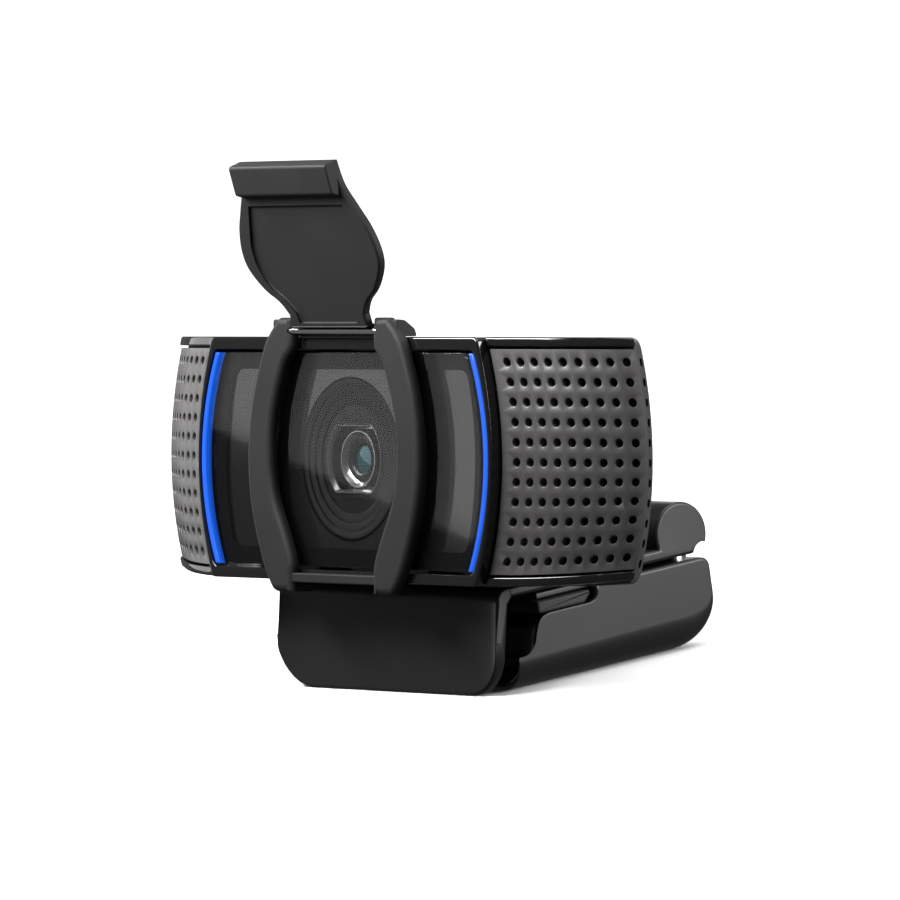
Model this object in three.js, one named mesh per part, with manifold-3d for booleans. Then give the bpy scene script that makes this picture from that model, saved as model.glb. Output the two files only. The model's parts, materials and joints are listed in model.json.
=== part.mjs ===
// Webcam head with a flip-up privacy shutter, on a folding screen clip that has a tripod socket.
// Millimetres, +Z up, front towards -Y. The origin is on the ground, below the middle of the bounding box.
import * as THREE from 'three';
import { mergeVertices } from 'three/addons/utils/BufferGeometryUtils.js';
import Module from 'manifold-3d';

const wasm = await Module();
wasm.setup();

// ---------------------------------------------------------------- driving dimensions

const DEGREE = Math.PI / 180;
const GAP = 0.3; // clearance between neighbouring pieces
const SHIFT_Y = -0.19; // moves the whole assembly so that its bounding box is centred

// The head's own frame has its origin on the lens axis at the window's front face.
const HEAD = {
  halfHeight: 14.5,
  halfWidth: 46.9, // at mid height
  halfWidthAtEdges: 44.2, // at the top and bottom
  bezelHalfWidth: 29.3,
  bezelHalfWidthAtEdges: 26.4,
  seamY: 8.9, // where the rear cover starts
  depth: 20,
  wall: 1.4,
  tilt: 10 * DEGREE, // it looks up by this much at rest
  y: -15.73, // its origin in the assembly's frame
  z: 28.6,
};
const END_START_Y = 1.3; // an end's front beside the bezel
const END_PLAN = [[31.9, 1.9], [38, 3.55], [43.7, 6.35]]; // it sweeps back towards the corner
const END_CORNER = { y: 7.45, straightY: 8.7, bluntness: 0.9 };
const BOTTOM_RISE = 0.07; // share of the half height by which the ends are shallower below

const BEZEL = { front: -0.2, cavityFront: 3, cavityHigh: 12.9 };
const WINDOW_SEAT = { inset: 0.55, low: -13.2, high: 13, back: 3.2 };
const CAVITY_LOW = -11.6; // floor of the room inside the head
const CLIP_ROOM = { halfWidth: 22.6, low: -16, high: -13, front: 3.9, back: 13.6 }; // cut from the underside
const HINGE_SLOT = { halfWidth: 8.5, front: 12.9, back: 17.9, low: -16, high: -8 };
const WINDOW = { front: 0, back: 0.9, low: -12.9, high: 12.7, halfWidth: 27.2, halfWidthAtEdges: 24.3 };
const LIGHT_PIPE = { inner: 27.5, outer: 28.5, front: -0.1, back: 2.4 };
const MASK = { halfWidth: 25, halfWidthAtEdges: 23.4, halfHeight: 10.8, front: 1.3, back: 2.1 };
const SHROUD = { front: 1.35, back: 4.15 };
const RING_RADII = [9.5, 8.65, 7.6, 6.5, 5.4]; // the steps round the lens
const RING_STEP = 0.2;
const LENS_FRAME = { radius: 5.25, front: 1.75, back: 4, opening: 4.95, openingHalfHeight: 3.6 };
const BARREL = { radius: 3.3, bore: 2.4, front: 3.2, back: 9 };
const RETAINER = { bore: 1.75, radius: 3.45, front: 2.3, edge: 2.55, back: 2.9 };
const ACTUATOR = { half: 5.2, front: 5.6, back: 10.6 };
const CHASSIS = { halfWidth: 25, front: 8.6, back: 9.8, low: -9.2, high: 11.8, lensHole: 5.5 };
const BOARD = { front: 12.8, back: 13.8, halfWidth: 24, low: -7.3, high: 11.8 };
const SCREW = { hole: 1, shank: 0.7, tip: 8.8, head: 1.5, headFront: 14.1, headBack: 15 };
const MICROPHONE = { x: 38, radius: 2, front: 8.2, back: 9.6 };
const BOOT = { bore: 2.3, radius: 2.9, front: 7.4, back: 9.4 };
const GRILLE = { wall: 1.1, halfHeight: 13.1, innerShift: 0.33 }; // the wall's inside is this much narrower
const BAND = { low: 13.4, high: 14.5, proud: 0.3 };
const GLAND = { hole: 1.9, bore: 1.1, neck: 1.6, flange: 2.9, z: -1 };
const SCREW_PLACES = [[-20.5, -4.8], [20.5, -4.8], [-20.5, 9.3], [20.5, 9.3]];

const TILT_HINGE = { y: 15.35, z: -11.1, radius: 1.9, pin: 0.8, bore: 0.9 }; // in the head's frame

// The shutter's frame is clipped over the head's front; its pin is in the head's frame.
const SHUTTER = {
  front: -1.6,
  back: -0.4,
  top: 16.8,
  bottom: -15.9,
  pinY: -1.1,
  pinZ: 15.2,
  pinRadius: 0.42,
};
const FLAP = { lean: 19.5 * DEGREE, thickness: 1.1, length: 21.2, knuckle: 0.95, neck: 7.5 };
const FLAP_TAB = { halfWidth: 9.7, low: 17.6, front: -1.75 };

// The clip's sizes are in the assembly's frame, standing on the ground plane.
const CLIP = {
  halfWidth: 21.4,
  lipHalfWidth: 21.85,
  plateTop: 12.65,
  plateBottom: 11.2,
  lipTopY: -12.05, // front of the lip at the plate's top
  lipBottomY: -13.55,
  lipThickness: 1.5,
  lipCorner: 6,
};
const BARREL_END = { y: 16.55, z: 13.8, radius: 3.9 }; // thick rear edge of the plate
const FOOT_HINGE = {
  y: 19.45,
  z: 10.9,
  knuckle: 1,
  pin: 0.45,
  bore: 0.53,
  relief: 1.5,
  inner: 9.7, // the bracket's knuckle ends here
  outer: 16.8, // the foot's two knuckles end here
};
const FOOT = { top: 10.6, rear: 20.3, halfWidth: 21.4, notchFloor: 8.1, notchRear: 2.75, wall: 1.5 };
const PAD_CARRIER = { halfWidth: 20.6, front: -5.5, back: 2.3, low: 10.2, high: 10.9 };
const PLATE_PAD = { halfWidth: 20.8, front: -5.6, back: 2.35, low: 8.45, high: 9.9, chamfer: 0.95 };
const LIP_PAD = { halfWidth: 14, low: 3, high: 9.3, thickness: 0.5 };
const FOOT_PAD = { halfWidth: 14.7, front: 5.3, back: 14.7, low: 10.2, high: 10.8 };
const FOOT_CORE = { halfWidth: 18.5, front: -6.2, back: 17.6, low: 1.85, high: 6.85 };
const TRIPOD = { y: 5, bore: 3.1, outer: 4.4, low: 0.25, high: 6.3 };

// ---------------------------------------------------------------- shapes and solids

function polygon(points) {
  return new THREE.Shape(points.map(([u, v]) => new THREE.Vector2(u, v)));
}

function extrude(shape, depth, steps) {
  return new THREE.ExtrudeGeometry(shape, { depth, steps, bevelEnabled: false, curveSegments: 5 });
}

// A shape in Y and Z, swept along X from low to high.
function sweepX(shape, low, high, steps = 1) {
  return extrude(shape, high - low, steps).rotateX(Math.PI / 2).rotateZ(Math.PI / 2).translate(low, 0, 0);
}

// A shape in X and Z, swept along Y from low to high.
function sweepY(shape, low, high, steps = 1) {
  return extrude(shape, high - low, steps).rotateX(Math.PI / 2).translate(0, high, 0);
}

// A shape in X and Y, swept along Z from low to high.
function sweepZ(shape, low, high, steps = 1) {
  return extrude(shape, high - low, steps).translate(0, 0, low);
}

function block(x, y, z) {
  const [width, depth, height] = [x, y, z].map(([low, high]) => high - low);
  const [middleX, middleY, middleZ] = [x, y, z].map(([low, high]) => (low + high) / 2);
  return new THREE.BoxGeometry(width, depth, height).translate(middleX, middleY, middleZ);
}

function rodX(radius, low, high, y, z, sides = 20) {
  const rod = new THREE.CylinderGeometry(radius, radius, high - low, sides);
  return rod.rotateZ(Math.PI / 2).translate((low + high) / 2, y, z);
}

function rodY(radius, low, high, x, z, sides = 20) {
  return new THREE.CylinderGeometry(radius, radius, high - low, sides).translate(x, (low + high) / 2, z);
}

function rodZ(radius, low, high, x, y, sides = 24) {
  const rod = new THREE.CylinderGeometry(radius, radius, high - low, sides);
  return rod.rotateX(Math.PI / 2).translate(x, y, (low + high) / 2);
}

// A closed profile of [radius, place along the axis], turned about Y.
function turnY(profile, sides = 36) {
  const points = profile.map(([radius, along]) => new THREE.Vector2(radius, along));
  if (THREE.ShapeUtils.isClockWise(points)) {
    points.reverse();
  }
  const startsOnAxis = points[0].x === 0;
  const closed = startsOnAxis ? points : [...points, points[0].clone()];
  return new THREE.LatheGeometry(closed, sides);
}

function toSolid(geometry) {
  const bare = geometry.clone();
  bare.deleteAttribute('normal');
  bare.deleteAttribute('uv');
  const merged = mergeVertices(bare, 1e-4);
  return new wasm.Manifold(new wasm.Mesh({
    numProp: 3,
    vertProperties: new Float32Array(merged.attributes.position.array),
    triVerts: new Uint32Array(merged.index.array),
  }));
}

function toGeometry(solid) {
  const mesh = solid.getMesh();
  const geometry = new THREE.BufferGeometry();
  geometry.setAttribute('position', new THREE.BufferAttribute(mesh.vertProperties, 3));
  geometry.setIndex(new THREE.BufferAttribute(mesh.triVerts, 1));
  geometry.computeVertexNormals();
  return geometry;
}

function cut(base, ...tools) {
  return toGeometry(tools.reduce((solid, tool) => solid.subtract(toSolid(tool)), toSolid(base)));
}

function join(base, ...others) {
  return toGeometry(others.reduce((solid, other) => solid.add(toSolid(other)), toSolid(base)));
}

function overlap(first, second) {
  return toGeometry(toSolid(first).intersect(toSolid(second)));
}

function mirrored(geometry) {
  const copy = geometry.index ? geometry.toNonIndexed() : geometry.clone();
  copy.scale(-1, 1, 1);
  const { array } = copy.attributes.position;
  for (let i = 0; i < array.length; i += 9) {
    for (let axis = 0; axis < 3; axis += 1) {
      [array[i + 3 + axis], array[i + 6 + axis]] = [array[i + 6 + axis], array[i + 3 + axis]];
    }
  }
  copy.computeVertexNormals();
  return copy;
}

// ---------------------------------------------------------------- materials

const FINISHES = {
  glossBlack: { color: 0x0b0b0c, roughness: 0.12, metalness: 0 },
  satinBlack: { color: 0x1c1b1b, roughness: 0.45, metalness: 0 },
  clipBlack: { color: 0x1d1b1b, roughness: 0.4, metalness: 0 },
  softTouch: { color: 0x26272a, roughness: 0.75, metalness: 0 },
  smokedGlass: { color: 0x141416, roughness: 0.05, metalness: 0 },
  blueLight: { color: 0x1550e8, roughness: 0.35, metalness: 0 },
  darkPlastic: { color: 0x121213, roughness: 0.6, metalness: 0 },
  lensGlass: { color: 0x1c3a40, roughness: 0.03, metalness: 0 },
  filterGlass: { color: 0x59444f, roughness: 0.08, metalness: 0 },
  chrome: { color: 0xd8d8da, roughness: 0.12, metalness: 1 },
  steel: { color: 0x9a9a9c, roughness: 0.35, metalness: 1 },
  brass: { color: 0xb08d4c, roughness: 0.35, metalness: 1 },
  rubber: { color: 0x19191a, roughness: 0.85, metalness: 0 },
  board: { color: 0x1b4a2c, roughness: 0.5, metalness: 0 },
  chip: { color: 0x17181a, roughness: 0.5, metalness: 0 },
  ledWhite: { color: 0xdadfe6, roughness: 0.4, metalness: 0 },
  cloth: { color: 0x0c0c0d, roughness: 0.95, metalness: 0 },
};

function place(group, name, geometry, finish) {
  const mesh = new THREE.Mesh(geometry, new THREE.MeshStandardMaterial(FINISHES[finish]));
  mesh.name = name;
  group.add(mesh);
}

// ---------------------------------------------------------------- outlines of the head

function share(z) {
  return 1 - (z / HEAD.halfHeight) ** 2;
}

// An upright outline whose two sides bulge, from low to high.
function bulgedOutline(halfAtEdges, halfWidth, low, high) {
  const control = 2 * halfWidth - halfAtEdges;
  const middle = (low + high) / 2;
  const shape = new THREE.Shape();
  shape.moveTo(-halfAtEdges, low);
  shape.lineTo(halfAtEdges, low);
  shape.quadraticCurveTo(control, middle, halfAtEdges, high);
  shape.lineTo(-halfAtEdges, high);
  shape.quadraticCurveTo(-control, middle, -halfAtEdges, low);
  return shape;
}

// Bends an end piece that is drawn with straight sides: its inner edge follows the bezel, its outer
// edge the head's bulged end, and its bottom rises a little towards the end.
function bendEnd(geometry) {
  const drawnInner = HEAD.bezelHalfWidth + GAP;
  const positions = geometry.attributes.position;
  for (let i = 0; i < positions.count; i += 1) {
    const z = positions.getZ(i);
    const bezelSpan = HEAD.bezelHalfWidth - HEAD.bezelHalfWidthAtEdges;
    const endSpan = HEAD.halfWidth - HEAD.halfWidthAtEdges;
    const inner = HEAD.bezelHalfWidthAtEdges + bezelSpan * share(z) + GAP;
    const outer = HEAD.halfWidthAtEdges + endSpan * share(z);
    const along = (positions.getX(i) - drawnInner) / (HEAD.halfWidth - drawnInner);
    positions.setX(i, inner + along * (outer - inner));
    if (z < 0) {
      positions.setZ(i, z * (1 - BOTTOM_RISE * along * along));
    }
  }
  geometry.computeVertexNormals();
  return geometry;
}

// The plan of an end's front, offset outwards by grow.
function endPlan(grow, backY) {
  const inner = HEAD.bezelHalfWidth + GAP;
  const outer = HEAD.halfWidth + grow;
  const shape = new THREE.Shape();
  shape.moveTo(inner, backY);
  shape.lineTo(inner, END_START_Y - grow);
  END_PLAN.forEach(([x, y]) => shape.lineTo(x, y - grow));
  shape.quadraticCurveTo(outer - END_CORNER.bluntness, END_CORNER.y - grow, outer, END_CORNER.straightY);
  shape.lineTo(outer, backY);
  return shape;
}

// ---------------------------------------------------------------- head: front

// Room under the head for the clip's plate.
function clipRoom(back) {
  const { halfWidth, front, low, high } = CLIP_ROOM;
  return block([-halfWidth, halfWidth], [front, back], [low, high]);
}

function frontBezel() {
  const { bezelHalfWidth, bezelHalfWidthAtEdges, halfHeight, seamY, wall } = HEAD;
  const { front, cavityFront, cavityHigh } = BEZEL;
  const seat = WINDOW_SEAT;
  const outline = (inset, low, high) => (
    bulgedOutline(bezelHalfWidthAtEdges - inset, bezelHalfWidth - inset, low, high));
  const body = sweepY(outline(0, -halfHeight, halfHeight), front, seamY);
  const windowSeat = sweepY(outline(seat.inset, seat.low, seat.high), front - 1, seat.back);
  const cavity = sweepY(outline(wall, CAVITY_LOW, cavityHigh), cavityFront, seamY + 1);
  return cut(body, windowSeat, cavity, clipRoom(seamY + 1));
}

function frontWindow() {
  const { halfWidthAtEdges, halfWidth, low, high, front, back } = WINDOW;
  return sweepY(bulgedOutline(halfWidthAtEdges, halfWidth, low, high), front, back);
}

function lightPipe() {
  const { inner, outer, front, back } = LIGHT_PIPE;
  const { low, high, halfWidth, halfWidthAtEdges } = WINDOW;
  const narrowing = halfWidth - halfWidthAtEdges;
  const middle = (low + high) / 2;
  const shape = new THREE.Shape();
  shape.moveTo(inner - narrowing, low);
  shape.lineTo(outer - narrowing, low);
  shape.quadraticCurveTo(outer + narrowing, middle, outer - narrowing, high);
  shape.lineTo(inner - narrowing, high);
  shape.quadraticCurveTo(inner + narrowing, middle, inner - narrowing, low);
  return sweepY(shape, front, back);
}

function maskPlate() {
  const { halfWidth, halfWidthAtEdges, halfHeight, front, back } = MASK;
  const plate = sweepY(bulgedOutline(halfWidthAtEdges, halfWidth, -halfHeight, halfHeight), front, back);
  return cut(plate, rodY(RING_RADII[0] + GAP, 0, 4, 0, 0, 48));
}

function lensShroud() {
  const { front, back } = SHROUD;
  const profile = [];
  RING_RADII.forEach((radius, index) => {
    profile.push([radius, front + Math.max(0, index - 1) * RING_STEP]);
    profile.push([radius, front + index * RING_STEP]);
  });
  profile.shift();
  profile[profile.length - 1][1] = back;
  profile.push([RING_RADII[0], back]);
  return turnY(profile, 48);
}

function lensFrame() {
  const { radius, front, back, opening, openingHalfHeight } = LENS_FRAME;
  const hole = overlap(
    rodY(opening, front - 1, back + 1, 0, 0, 32),
    block([-radius, radius], [front - 1, back + 1], [-openingHalfHeight, openingHalfHeight]));
  return cut(rodY(radius, front, back, 0, 0, 32), hole);
}

// ---------------------------------------------------------------- head: lens and electronics

function lensBarrel() {
  const { radius, bore, front, back } = BARREL;
  return turnY([[bore, back], [radius, back], [radius, front], [bore, front]], 28);
}

function lensRetainer() {
  const { bore, radius, front, edge, back } = RETAINER;
  const chamfer = edge - front;
  return turnY([
    [bore, back], [radius, back], [radius, edge], [radius - chamfer, front], [bore + chamfer, front],
  ], 28);
}

function lensElement(apex, edge, back) {
  const radius = BARREL.bore - GAP;
  const dome = [0, 1, 2, 3].map((step) => {
    const angle = (step / 3) * (Math.PI / 2);
    return [radius * Math.sin(angle), edge - (edge - apex) * Math.cos(angle)];
  });
  return turnY([[0, back], [radius, back], ...dome.reverse()], 24);
}

function focusActuator() {
  const { half, front, back } = ACTUATOR;
  const frame = block([-half, half], [front, back], [-half, half]);
  return cut(frame, rodY(BARREL.radius + GAP, front - 1, back + 1, 0, 0, 28));
}

function screwHoles(low, high) {
  return SCREW_PLACES.map(([x, z]) => rodY(SCREW.hole, low, high, x, z, 12));
}

function chassis() {
  const { halfWidth, front, back, low, high, lensHole } = CHASSIS;
  const plate = block([-halfWidth, halfWidth], [front, back], [low, high]);
  const opening = block([-lensHole, lensHole], [front - 1, back + 1], [-lensHole, lensHole]);
  return cut(plate, opening, ...screwHoles(front - 1, back + 1));
}

function mainBoard() {
  const { halfWidth, front, back, low, high } = BOARD;
  const plate = block([-halfWidth, halfWidth], [front, back], [low, high]);
  return cut(plate, ...screwHoles(front - 1, back + 1));
}

function boardScrew(x, z) {
  const { shank, tip, head: rim, headFront, headBack } = SCREW;
  const profile = [
    [0, headBack], [rim, headBack], [rim, headFront], [shank, headFront], [shank, tip], [0, tip],
  ];
  return turnY(profile, 14).translate(x, 0, z);
}

// ---------------------------------------------------------------- head: ends and rear

function grille() {
  const { wall, halfHeight, innerShift } = GRILLE;
  const { halfWidth, bezelHalfWidth, seamY } = HEAD;
  const plan = new THREE.Shape();
  plan.moveTo(bezelHalfWidth + GAP, END_START_Y);
  END_PLAN.forEach(([x, y]) => plan.lineTo(x, y));
  plan.quadraticCurveTo(halfWidth - END_CORNER.bluntness, END_CORNER.y, halfWidth, END_CORNER.straightY);
  plan.lineTo(halfWidth, seamY);
  plan.lineTo(halfWidth - wall, seamY);
  [...END_PLAN].reverse().forEach(([x, y]) => plan.lineTo(x - innerShift, y + wall));
  plan.lineTo(bezelHalfWidth + GAP, END_START_Y + wall);
  return bendEnd(sweepZ(plan, -halfHeight, halfHeight, 6));
}

function acousticMesh() {
  const plan = polygon([[31.6, 3.8], [38, 5.4], [41, 6.85], [40.9, 7.25], [37.9, 5.8], [31.5, 4.2]]);
  return bendEnd(sweepZ(plan, -10.5, 10.5, 6));
}

function microphone() {
  const { x, radius, front, back } = MICROPHONE;
  return rodY(radius, front, back, x, 0);
}

function microphoneBoot() {
  const { bore, radius, front, back } = BOOT;
  return cut(rodY(radius, front, back, MICROPHONE.x, 0), rodY(bore, front - 1, back + 1, MICROPHONE.x, 0));
}

function edgeBand(low, high) {
  return bendEnd(sweepZ(endPlan(BAND.proud, HEAD.seamY), low, high));
}

function rearPlan(inset) {
  const shape = new THREE.Shape();
  const side = [[46.6, 9.2], [45.5, 11.2], [39.7, 14], [25, 18]];
  const points = side.map(([x, y]) => new THREE.Vector2(x - inset, y - inset * 0.8));
  points.push(new THREE.Vector2(0, HEAD.depth - inset));
  const left = points.slice(0, -1).reverse().map((point) => new THREE.Vector2(-point.x, point.y));
  shape.moveTo(points[0].x, points[0].y);
  shape.splineThru([...points.slice(1), ...left]);
  return shape;
}

function rearProfile(inset) {
  const shape = new THREE.Shape();
  const [back, high, low] = [HEAD.depth - inset, HEAD.halfHeight - inset, -HEAD.halfHeight + inset];
  shape.moveTo(5, low);
  shape.lineTo(12, low);
  shape.lineTo(back, -9.2 + inset / 2);
  shape.lineTo(back, 7 - inset / 2);
  shape.quadraticCurveTo(back, high, 12, high);
  shape.lineTo(5, high);
  return shape;
}

function narrowEdges(geometry) {
  const positions = geometry.attributes.position;
  const narrowing = 1 - HEAD.halfWidthAtEdges / HEAD.halfWidth;
  for (let i = 0; i < positions.count; i += 1) {
    positions.setX(i, positions.getX(i) * (1 - narrowing * (1 - share(positions.getZ(i)))));
  }
  return geometry;
}

function rearCover() {
  const { halfHeight, wall } = HEAD;
  const ceiling = halfHeight - wall;
  const shell = (inset, low, high) => overlap(
    narrowEdges(sweepZ(rearPlan(inset), low, high, 6)), sweepX(rearProfile(inset), -60, 60));
  const outer = shell(0, -halfHeight, halfHeight);
  const inner = shell(wall, CAVITY_LOW, ceiling);
  const mouth = block([-44.2, 44.2], [5, 10.2], [CAVITY_LOW, ceiling]);
  const { halfWidth, front, back, low, high } = HINGE_SLOT;
  const hingeSlot = block([-halfWidth, halfWidth], [front, back], [low, high]);
  const cableHole = rodY(GLAND.hole, 15, 25, 0, GLAND.z);
  return cut(outer, inner, mouth, clipRoom(CLIP_ROOM.back), hingeSlot, cableHole);
}

function cableGland() {
  const { bore, neck, flange, z } = GLAND;
  const [inner, seat, outer] = [17.4, HEAD.depth + GAP, HEAD.depth + 1.4];
  const profile = [
    [bore, outer], [flange - GAP, outer], [flange, outer - GAP], [flange, seat], [neck, seat], [neck, inner],
    [bore, inner],
  ];
  return turnY(profile, 20).translate(0, 0, z);
}

function tiltLug() {
  const { y, z, radius, bore } = TILT_HINGE;
  const eye = rodX(radius, -4.3, 4.3, y, z, 24);
  const stem = block([-4.3, 4.3], [y - radius, y + radius], [z, -8.9]);
  const flange = block([-7.4, 7.4], [12.6, 17.4], [-9.1, -7.9]);
  return cut(join(eye, stem, flange), rodX(bore, -9, 9, y, z, 24));
}

// ---------------------------------------------------------------- privacy shutter

// Half widths at heights in the head's frame: of the opening between the arms, and of the arms outside.
const OPENING_EDGE = [[8.1, 13.2], [9.9, 11], [12, 5.2], [12.45, 0], [11.7, -4.6], [9.4, -9.2], [8.1, -12.2]];
const ARM_EDGE = [[12.7, 15.2], [14.2, 13], [16.4, 7], [17.3, 0.8], [16.7, -5.6], [14.5, -12]];

// An outline that is the same left and right: a smooth edge between two straight ends.
function mirroredOutline(edge, first, last) {
  const toVectors = (points) => points.map(([x, z]) => new THREE.Vector2(x, z));
  const flipped = [...edge].reverse().map(([x, z]) => [-x, z]);
  const shape = new THREE.Shape();
  shape.moveTo(-first[0], first[1]);
  shape.lineTo(first[0], first[1]);
  shape.splineThru(toVectors([...edge, last]));
  shape.lineTo(-last[0], last[1]);
  shape.splineThru(toVectors([...flipped, [-first[0], first[1]]]));
  return shape;
}

function span(sign, inner, outer) {
  return sign > 0 ? [inner, outer] : [-outer, -inner];
}

function shutterFrame() {
  const { front, back, top, bottom, pinRadius, pinY, pinZ } = SHUTTER;
  const arms = sweepY(mirroredOutline(ARM_EDGE, [10.6, top], [11.8, bottom]), front, back);
  const opening = sweepY(mirroredOutline(OPENING_EDGE, [8.1, top + 1], [8, -13.6]), front - 1, back + 1);
  const underOpening = block([-8, 8], [front - 1, back + 1], [bottom - 1, -14.75]);
  const saddleProfile = polygon([[front, 14.85], [1.9, 14.85], [1.5, 15.7], [-0.4, top], [front, top]]);
  const saddles = [-1, 1].map((sign) => sweepX(saddleProfile, ...span(sign, 8.1, 12.4)));
  const hooks = [-1, 1].map((sign) => block(span(sign, 8, 11.8), [front, 1.5], [bottom, -14.85]));
  const bridge = block([-8.6, 8.6], [0.25, 1.6], [14.85, 15.35]);
  const pinBore = rodX(pinRadius + 0.1, -10.6, 10.6, pinY, pinZ, 20);
  return cut(join(cut(arms, opening, underOpening), ...saddles, ...hooks, bridge), pinBore);
}

const FLAP_EDGE = [
  [7.5, 2.2], [8.7, 3.7], [11.1, 5.4], [13.1, 7.9], [13.5, 10.2], [12.8, 12.9], [11.3, 15.6], [9.9, 18.2],
];
const POCKET_EDGE = [[5.9, 2.4], [7.4, 4], [9.6, 5.7], [10.9, 7.9], [11.2, 10.5], [10.5, 12.9]];

// Drawn standing upright on its pin axis, front face towards -Y.
function shutterFlap() {
  const { thickness, knuckle, neck, length } = FLAP;
  const { halfWidth, low, front } = FLAP_TAB;
  const plate = sweepY(mirroredOutline(FLAP_EDGE, [neck, 0], [9.6, length]), -thickness / 2, thickness / 2);
  const pocket = sweepY(mirroredOutline(POCKET_EDGE, [5.7, 1.1], [9.4, 15.9]), -thickness, -0.2);
  const tabProfile = polygon([
    [0, low - 1.2], [front, low], [front + 0.2, length - 0.2], [front + 0.8, length], [0, length],
  ]);
  const tab = sweepX(tabProfile, -halfWidth, halfWidth);
  const eye = rodX(knuckle, -neck, neck, 0, 0, 20);
  return cut(join(cut(plate, pocket), tab, eye), rodX(SHUTTER.pinRadius + 0.1, -10, 10, 0, 0, 20));
}

// ---------------------------------------------------------------- clip

function bracket() {
  const { halfWidth, lipHalfWidth, plateTop, plateBottom } = CLIP;
  const { lipTopY, lipBottomY, lipThickness, lipCorner } = CLIP;
  const { y, z, radius } = BARREL_END;
  const hinge = FOOT_HINGE;
  const barrelAngle = (height) => Math.asin((height - z) / radius);
  const profile = new THREE.Shape();
  profile.moveTo(lipTopY + 0.9, plateTop);
  profile.quadraticCurveTo(lipTopY, plateTop, lipTopY - 0.15, plateTop - 1.4);
  profile.lineTo(lipBottomY, 0.5);
  profile.quadraticCurveTo(lipBottomY, 0, lipBottomY + 0.5, 0);
  profile.lineTo(lipBottomY + lipThickness - 0.4, 0);
  profile.quadraticCurveTo(lipBottomY + lipThickness, 0, lipBottomY + lipThickness, 0.5);
  profile.lineTo(lipTopY + lipThickness - 0.1, plateBottom - 0.6);
  profile.lineTo(lipTopY + lipThickness + 0.5, plateBottom);
  profile.lineTo(y + radius * Math.cos(barrelAngle(plateBottom)), plateBottom);
  profile.absarc(y, z, radius, barrelAngle(plateBottom), Math.PI - barrelAngle(plateTop), false);
  const side = sweepX(profile, -lipHalfWidth, lipHalfWidth);
  const outline = new THREE.Shape();
  outline.moveTo(-lipHalfWidth, 30);
  outline.lineTo(-lipHalfWidth, lipCorner);
  outline.quadraticCurveTo(-lipHalfWidth, 0, -lipHalfWidth + lipCorner, 0);
  outline.lineTo(lipHalfWidth - lipCorner, 0);
  outline.quadraticCurveTo(lipHalfWidth, 0, lipHalfWidth, lipCorner);
  outline.lineTo(lipHalfWidth, 30);
  const rounded = overlap(side, sweepY(outline, -30, 30));
  const trims = [-1, 1].map((sign) => {
    const sideways = span(sign, halfWidth, 30);
    return block(sideways, [lipTopY + lipThickness + 0.5, 30], [-1, 30]);
  });
  const reliefs = [-1, 1].map((sign) => {
    const [low, high] = span(sign, hinge.inner + 0.1, 30);
    return rodX(hinge.relief, low, high, hinge.y, hinge.z, 20);
  });
  const knuckle = rodX(hinge.knuckle, -hinge.inner, hinge.inner, hinge.y, hinge.z, 20);
  const body = join(cut(rounded, ...trims, ...reliefs), knuckle, ...tiltEars());
  const pinBores = [
    rodX(hinge.bore, -30, 30, hinge.y, hinge.z, 20),
    rodX(TILT_HINGE.bore, -30, 30, tiltAxis.y, tiltAxis.z, 24),
  ];
  return cut(body, ...pinBores);
}

function tiltEars() {
  return [-1, 1].map((sign) => {
    const [low, high] = span(sign, 5.3, 8);
    const { y, z } = tiltAxis;
    const round = rodX(TILT_HINGE.radius, low, high, y, z, 24);
    const stem = block([low, high], [y - 1.9, y + 1.9], [CLIP.plateTop - 0.5, z]);
    return join(round, stem);
  });
}

function lipPad() {
  const slope = (CLIP.lipTopY - CLIP.lipBottomY) / CLIP.plateTop;
  const rearAt = (z) => CLIP.lipBottomY + CLIP.lipThickness + slope * z;
  const { halfWidth, low, high, thickness } = LIP_PAD;
  const [near, far] = [GAP, GAP + thickness];
  return sweepX(polygon([
    [rearAt(low) + near, low],
    [rearAt(low) + far, low],
    [rearAt(high) + far, high],
    [rearAt(high) + near, high],
  ]), -halfWidth, halfWidth);
}

function padCarrier() {
  const { halfWidth, front, back, low, high } = PAD_CARRIER;
  return block([-halfWidth, halfWidth], [front, back], [low, high]);
}

function platePad() {
  const { halfWidth, front, back, low, high, chamfer } = PLATE_PAD;
  const section = polygon([
    [front, low], [back - chamfer, low], [back, low + chamfer], [back, high], [front, high],
  ]);
  return sweepX(section, -halfWidth, halfWidth);
}

function tiltWasher(low) {
  const { y, z } = tiltAxis;
  return cut(rodX(1.7, low, low + 0.4, y, z), rodX(0.95, low - 1, low + 1, y, z));
}

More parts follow.
